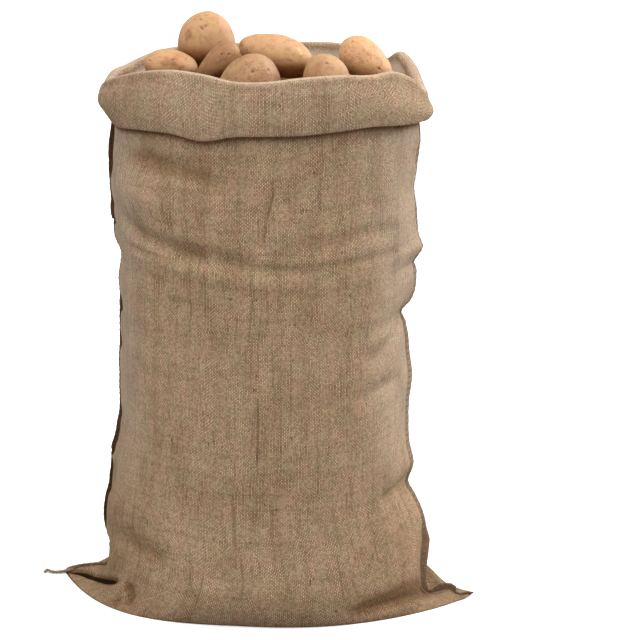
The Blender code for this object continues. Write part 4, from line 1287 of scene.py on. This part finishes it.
# How deep each kind of lump is, and how close together: large ones, and small ones on them.
LUMPS = ((0.03, 1.4), (0.012, 3.2))
# Each potato's place, times this, is its own place in the noise of lumps.
LUMP_SEED = Vector((146.0, 102.0, 74.0))
SHOWN_SUBDIVISIONS = 6
HIDDEN_SUBDIVISIONS = 5

# Marks on the skins of the potatoes in front: where each lies on the potato before it is shaped
# and turned, and its width as a share of the potato's half width.
Mark = namedtuple("Mark", "kind x y z width")
MARKS = {
    "top": table(
        Mark,
        ("eye", 0.55, -0.83, 0.13, 0.055), ("eye", 0.49, -0.87, 0.07, 0.055),
        ("eye", 0.6, -0.8, -0.03, 0.05), ("pore", 0.78, -0.6, 0.18, 0.08),
        ("scab", 0.37, -0.74, 0.56, 0.06), ("scab", 0.24, -0.83, 0.51, 0.06),
        ("blush", 0.3, -0.8, 0.54, 0.17), ("gold", 0.68, -0.7, -0.2, 0.15),
        ("gold", -0.04, -0.97, 0.24, 0.11), ("blush", -0.45, -0.85, 0.1, 0.35),
    ),
    "left": table(
        Mark,
        ("eye", -0.79, -0.55, 0.28, 0.06), ("pore", -0.93, -0.33, 0.17, 0.05),
        ("eye", 0.07, -0.82, 0.57, 0.05), ("scab", 0.13, -0.89, 0.43, 0.09),
        ("blush", -0.23, -0.92, 0.31, 0.19),
    ),
    "slanted": table(
        Mark,
        ("eye", 0.49, -0.8, 0.35, 0.06), ("pore", 0.51, -0.84, 0.19, 0.055),
        ("eye", 0.66, -0.75, 0.03, 0.055), ("scab", 0.31, -0.94, 0.13, 0.11),
        ("scab", -0.15, -0.78, 0.6, 0.07), ("blush", -0.25, -0.9, 0.35, 0.3),
    ),
    "front": table(
        Mark,
        ("eye", 0.34, -0.78, 0.52, 0.07), ("eye", 0.78, -0.47, 0.41, 0.05),
        ("pore", 0.46, -0.33, 0.82, 0.045), ("pore", 0.16, -0.59, 0.8, 0.045),
        ("pore", 0.57, -0.46, 0.68, 0.04), ("pore", 0.66, -0.53, 0.53, 0.04),
        ("pore", 0.66, -0.61, 0.44, 0.04), ("pore", 0.23, -0.72, 0.66, 0.045),
        ("pore", -0.22, -0.87, 0.44, 0.045), ("pore", -0.03, -0.74, 0.67, 0.045),
    ),
    "long": table(
        Mark,
        ("bruise", 0.63, -0.46, 0.63, 0.085), ("bruise", 0.7, -0.52, 0.49, 0.06),
        ("gold", 0.74, -0.58, 0.3, 0.2), ("scab", 0.71, -0.56, 0.38, 0.05),
        ("gold", 0.12, -0.97, 0.19, 0.16), ("pore", 0.5, -0.86, 0.1, 0.07),
        ("pore", 0.21, -0.54, 0.82, 0.055), ("blush", -0.9, -0.4, 0.1, 0.2),
    ),
    "small": table(
        Mark,
        ("eye", -0.13, -0.67, 0.73, 0.055), ("pore", 0.06, -0.71, 0.7, 0.05),
        ("pore", -0.13, -0.46, 0.88, 0.045),
    ),
    "pear": table(
        Mark,
        ("scab", -0.72, -0.53, 0.45, 0.08), ("scab", -0.8, -0.6, 0.03, 0.06),
        ("pore", -0.49, -0.63, 0.61, 0.04), ("pore", -0.29, -0.89, 0.35, 0.045),
        ("pore", -0.18, -0.96, 0.21, 0.045), ("pore", 0.02, -0.92, 0.39, 0.04),
        ("pore", -0.17, -0.66, 0.73, 0.04), ("pore", 0.12, -0.69, 0.71, 0.04),
        ("eye", 0.46, -0.74, 0.5, 0.06), ("gold", 0.21, -0.9, 0.39, 0.16),
    ),
}
# How deep each kind of mark is, in metres. A negative depth stands out.
DEPTHS = {"eye": 0.0016, "pore": 0.0004, "scab": -0.0002, "blush": 0.0, "bruise": -0.0003, "gold": 0.0}
# A mark has a raised brow above it: its height as a share of the mark's depth, and how far off it
# is and how wide, in widths of the mark.
BROW_SHARE = 0.35
BROW_AT = 1.6
BROW_WIDTH = 0.6
# The other potatoes bear so many marks, of widths between these.
MARK_COUNT = 9
MARK_WIDTHS = (0.045, 0.10)


def scattered_marks(seed):
    """Marks for a potato of which little shows."""
    draw = np.random.default_rng(seed)
    marks = []
    for number, direction in enumerate(unit(draw.normal(size=(MARK_COUNT, 3)))):
        kind = ("eye", "pore", "scab")[number % 3]
        marks.append(Mark(kind, *direction, draw.uniform(*MARK_WIDTHS)))
    return marks


def potato_points(potato, subdivisions, marks):
    """A lumpy potato's points and faces, and how strongly each point bears each kind of mark."""
    ball = bmesh.new()
    bmesh.ops.create_icosphere(ball, subdivisions=subdivisions, radius=1)
    round_points = np.array([vert.co for vert in ball.verts])
    faces = [tuple(vert.index for vert in face.verts) for face in ball.faces]
    ball.free()
    seed = LUMP_SEED * Vector((potato.x, potato.y, potato.z))
    size = np.array([potato.length, potato.width, potato.height])
    lump = 1
    for depth, fineness in LUMPS:
        lump += depth * np.array([noise.noise(Vector(p) * fineness + seed) for p in round_points])
    slim = 1 + potato.taper * round_points[:, 0]
    shaped = round_points * np.stack([np.ones_like(slim), slim, slim], axis=1) * lump[:, None]
    outward = unit(round_points / size)
    shaped = shaped * size
    borne = {kind: np.zeros(len(shaped)) for kind in DEPTHS}
    for mark in marks:
        away = round_points - (mark.x, mark.y, mark.z)
        distance = np.linalg.norm(away, axis=1) / mark.width
        spot = bell(distance, 1)
        brow = bell(distance - BROW_AT, BROW_WIDTH) * (away[:, 2] > 0)
        shaped -= outward * (DEPTHS[mark.kind] * (spot - BROW_SHARE * brow))[:, None]
        borne[mark.kind] = np.maximum(borne[mark.kind], spot)
    turn = Euler((0, math.radians(potato.tilt), math.radians(potato.turn)), "XYZ").to_matrix()
    shaped = shaped @ np.array(turn).T
    # How far below its middle each point lies, for the painted shade underneath.
    borne["below"] = np.clip(-shaped[:, 2] / shaped[:, 2].max(), 0, 1)
    return shaped + (potato.x, potato.y, potato.z), faces, borne


SKIN = rgb(0.405, 0.222, 0.106)
GOLDEN_SKIN = rgb(0.430, 0.252, 0.116)
ROSY_SKIN = rgb(0.440, 0.235, 0.126)
RUDDY_SKIN = rgb(0.320, 0.150, 0.062)
BRUISED_SKIN = rgb(0.640, 0.430, 0.140)
OCHRE_SKIN = rgb(0.390, 0.240, 0.070)
STAINED = rgb(0.62, 0.52, 0.42)
# Painted shade on a potato's underside.
PAINTED_UNDERSIDE_SHADE = rgb(0.42, 0.26, 0.14)
PORE_SHADE = rgb(0.190, 0.095, 0.045)
EYE_SHADE = rgb(0.085, 0.042, 0.020)
SCAB = rgb(0.190, 0.090, 0.045)
SCURF = rgb(0.270, 0.170, 0.105)

# How light each potato is, how red, and how thickly its pores stand.
Skin = namedtuple("Skin", "light red pores")
SKINS = {
    "top": Skin(1.06, 0.05, 0.25),
    "left": Skin(1.08, 0.06, 0.45),
    "slanted": Skin(0.85, 0.26, 0.45),
    "front": Skin(0.84, 0.1, 1.0),
    "long": Skin(1.14, -0.05, 0.2),
    "small": Skin(0.98, 0.03, 0.45),
    "pear": Skin(1.27, -0.1, 1.0),
}
HIDDEN_SKIN = Skin(0.85, 0.08, 0.60)


def potato_skin(name, skin):
    """Thin dry skin: cloudy tan, with pores, scurf, scabs, bruises and dark eyes."""
    material, start = new_material(name)
    where = start.node("ShaderNodeNewGeometry", {}, {})
    eye, pore, scab, blush, bruise, gold, below = start.stored([*DEPTHS, "below"])
    cloud = start.noise(where, 38.0, 4.0, 0.6)
    patches = start.noise(where, 85.0, 4.0, 0.7)
    flush = start.noise(where, 26.0, 2.0) + skin.red + blush * 0.45
    cells = start.node("ShaderNodeTexVoronoi", {"feature": "F1"}, {"Vector": where, "Scale": 230.0})
    chosen = start.noise(where, 110.0, 1.0).step(0.46, 0.56)
    freckle = (1 - cells.step(0.12, 0.40)) * chosen * skin.pores
    colour = layered(
        cloud.step(0.36, 0.62).blend(SKIN, GOLDEN_SKIN),
        (start.noise(where, 52.0, 2.0).step(0.50, 0.66) * 0.8, ROSY_SKIN, OVER),
        (flush.step(0.54, 0.84) * 0.90, RUDDY_SKIN, OVER),
        (start.noise(where, 90.0, 6.0, 0.75).step(0.46, 0.70) * 0.8, STAINED, TINT),
        (gold.step(0.1, 0.9) * 0.55, OCHRE_SKIN, OVER),
        (bruise.step(0.15, 0.95) * 0.75, BRUISED_SKIN, OVER),
        # Painted shade on the lower side, mottled.
        ((below + cloud * 0.5).step(0.10, 0.95), PAINTED_UNDERSIDE_SHADE, TINT),
        (freckle * 0.75, PORE_SHADE, OVER),
        (patches.step(0.60, 0.74) * 0.45 * (skin.pores * 0.6 + 0.4), SCURF, OVER),
        (scab.step(0.25, 0.85) * 0.7, SCAB, OVER),
        (pore.step(0.35, 0.95) * 0.6, PORE_SHADE, OVER),
        (eye.step(0.40, 0.95) * 0.85, EYE_SHADE, OVER),
    )
    colour = colour_times(start, colour, grey(skin.light))
    relief = start.noise(where, 700.0, 3.0, 0.6) * 0.5 + patches * 0.5 - freckle * 0.6
    return finished(material, start, colour, 0.5 + patches * 0.2, 0.3, (0.8, 0.0007, relief))


def dress_potato(name, shape, skin, node):
    """One piece of potatoes, with its marks and its skin, in the place of a solid."""
    shape_points, shape_faces, borne = shape
    piece = mesh_object(name, shape_points, shape_faces)
    for kind, strengths in borne.items():
        mark(piece, kind, strengths)
    piece.data.materials.append(potato_skin(f"{name}_surface", skin))
    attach(piece, "root")
    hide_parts(node)


for number, (name, potato) in enumerate(POTATOES.items()):
    marks = MARKS.get(name) or scattered_marks(number)
    subdivisions = SHOWN_SUBDIVISIONS if name in MARKS else HIDDEN_SUBDIVISIONS
    shape, skin = potato_points(potato, subdivisions, marks), SKINS.get(name, HIDDEN_SKIN)
    dress_potato(f"skin_{name}", shape, skin, f"potato_{name}")


# The potatoes below
#
# What shows between the top ones is the next layer down. Everything under it is out of sight,
# so this layer stands for the whole filling.

# Where the layer lies, how far apart its potatoes are, how far it reaches to the sides and to the
# front and back, and how much higher its middle is.
LOWER_LEVEL = 0.664
LOWER_SPACING = 0.066
LOWER_REACH = (0.150, 0.108)
LOWER_RISE = 0.022
# Its potatoes: half sizes, what these are multiplied with, how far one strays from its place
# and how far it tilts, in degrees.
LOWER_SIZES = (0.036, 0.031, 0.028)
LOWER_UNEVEN = (0.92, 1.05)
LOWER_STRAY = 0.004
LOWER_TILT = 15
LOWER_TAPER = 0.05
LOWER_SUBDIVISIONS = 4
LOWER_SEED, LOWER_MARKS_SEED = 4, 100
ROWS_EACH_WAY = 3


def lower_layer():
    """A close layer of potatoes, a little higher in the middle."""
    draw = np.random.default_rng(LOWER_SEED)
    numbers = range(-ROWS_EACH_WAY, ROWS_EACH_WAY + 1)
    parts, borne = [], []
    for row, column in itertools.product(numbers, numbers):
        x = (column + 0.5 * (row % 2)) * LOWER_SPACING
        y = row * LOWER_SPACING * math.sqrt(3) / 2
        share = math.hypot(x / LOWER_REACH[0], y / LOWER_REACH[1])
        if share > 1:
            continue
        stray = draw.uniform(-LOWER_STRAY, LOWER_STRAY, 2)
        size = np.array(LOWER_SIZES) * draw.uniform(*LOWER_UNEVEN, 3)
        turn, tilt = draw.uniform(0, 180), draw.uniform(-LOWER_TILT, LOWER_TILT)
        z = LOWER_LEVEL + LOWER_RISE * (1 - share**2)
        potato = Potato(x + stray[0], y + stray[1], z, *size, turn, tilt, LOWER_TAPER)
        marks = scattered_marks(LOWER_MARKS_SEED + len(numbers) * row + column)
        *shape, marked = potato_points(potato, LOWER_SUBDIVISIONS, marks)
        parts.append(shape)
        borne.append(marked)
    together = {kind: np.concatenate([one[kind] for one in borne]) for kind in borne[0]}
    return *joined(parts), together


dress_potato("potatoes_below", lower_layer(), HIDDEN_SKIN, "potato_heap")


# The floor, the lights and the camera
#
# A white studio floor under wide soft lamps. The camera looks down a little from in front and
# from the right, from well back.

FLOOR_SIZE = 40.0
FLOOR_DROP = 0.0004
FLOOR_SEEN, FLOOR_BOUNCE = grey(0.95), grey(0.35)
ROOM_LIGHT = 0.70

half = FLOOR_SIZE / 2
corners = [(x, y, -FLOOR_DROP) for x, y in ((-half, -half), (half, -half), (half, half), (-half, half))]
floor = mesh_object("studio_floor", corners, [(0, 1, 2, 3)])
paint, start = new_material("floor_paint")
seen = start.node("ShaderNodeLightPath", {}, {})
paint = finished(paint, start, seen.blend(FLOOR_BOUNCE, FLOOR_SEEN), 0.9, 0.1)
floor.data.materials.append(paint)

room = bpy.data.worlds.new("room")
bpy.context.scene.world = room
room.use_nodes = True
sky = room.node_tree.nodes["Background"].inputs
sky["Color"].default_value, sky["Strength"].default_value = grey(1), ROOM_LIGHT
bpy.context.scene.view_settings.view_transform = "Standard"

# Each lamp shines from far off: how far round to the right of the front and how far up it stands,
# how wide it looks, in degrees, and how bright it is.
Lamp = namedtuple("Lamp", "azimuth elevation width strength")
LAMPS = {
    "top": Lamp(10, 75, 60, 2.4),
    "front": Lamp(15, 45, 40, 0.8),
    "left": Lamp(-75, 35, 60, 0.60),
    "right": Lamp(125, 25, 40, 3.6),
}
for name, lamp in LAMPS.items():
    light = bpy.data.lights.new(name, "SUN")
    light.angle, light.energy = math.radians(lamp.width), lamp.strength
    stand = bpy.data.objects.new(name, light)
    bpy.context.scene.collection.objects.link(stand)
    around, climb = math.radians(lamp.azimuth), math.radians(lamp.elevation)
    towards = Vector((math.sin(around), -math.cos(around), math.tan(climb)))
    stand.rotation_euler = towards.to_track_quat("Z", "Y").to_euler()

# The camera stands this far round to the right, back and up, and looks this far down and aside.
# Its focal length and the distance by which it looks aside are given in pixels of the picture.
PICTURE_WIDTH = 640
FOCAL_PIXELS = 2039
ASIDE_PIXELS = 55.5
CAMERA_TURN = math.radians(7.5)
CAMERA_BACK = 2.7
CAMERA_HEIGHT = 1.14
CAMERA_PITCH = math.radians(15.65)
CAMERA_YAW = math.atan(ASIDE_PIXELS / FOCAL_PIXELS)
SENSOR_WIDTH = 36.0
FOCAL_LENGTH = FOCAL_PIXELS / PICTURE_WIDTH * SENSOR_WIDTH

sideways = Vector((math.cos(CAMERA_TURN), math.sin(CAMERA_TURN), 0))
forwards = Vector((-math.sin(CAMERA_TURN), math.cos(CAMERA_TURN), 0))
level = math.sin(CAMERA_YAW) * sideways + math.cos(CAMERA_YAW) * forwards
right = math.cos(CAMERA_YAW) * sideways - math.sin(CAMERA_YAW) * forwards
ahead = math.cos(CAMERA_PITCH) * level - math.sin(CAMERA_PITCH) * Vector((0, 0, 1))
lens = bpy.data.cameras.new("camera")
lens.sensor_width, lens.lens = SENSOR_WIDTH, FOCAL_LENGTH
camera = bpy.data.objects.new("camera", lens)
bpy.context.scene.collection.objects.link(camera)
view = Matrix((right, right.cross(ahead), -ahead)).transposed().to_4x4()
view.translation = -CAMERA_BACK * forwards + Vector((0, 0, CAMERA_HEIGHT))
camera.matrix_world = view
bpy.context.scene.camera = camera
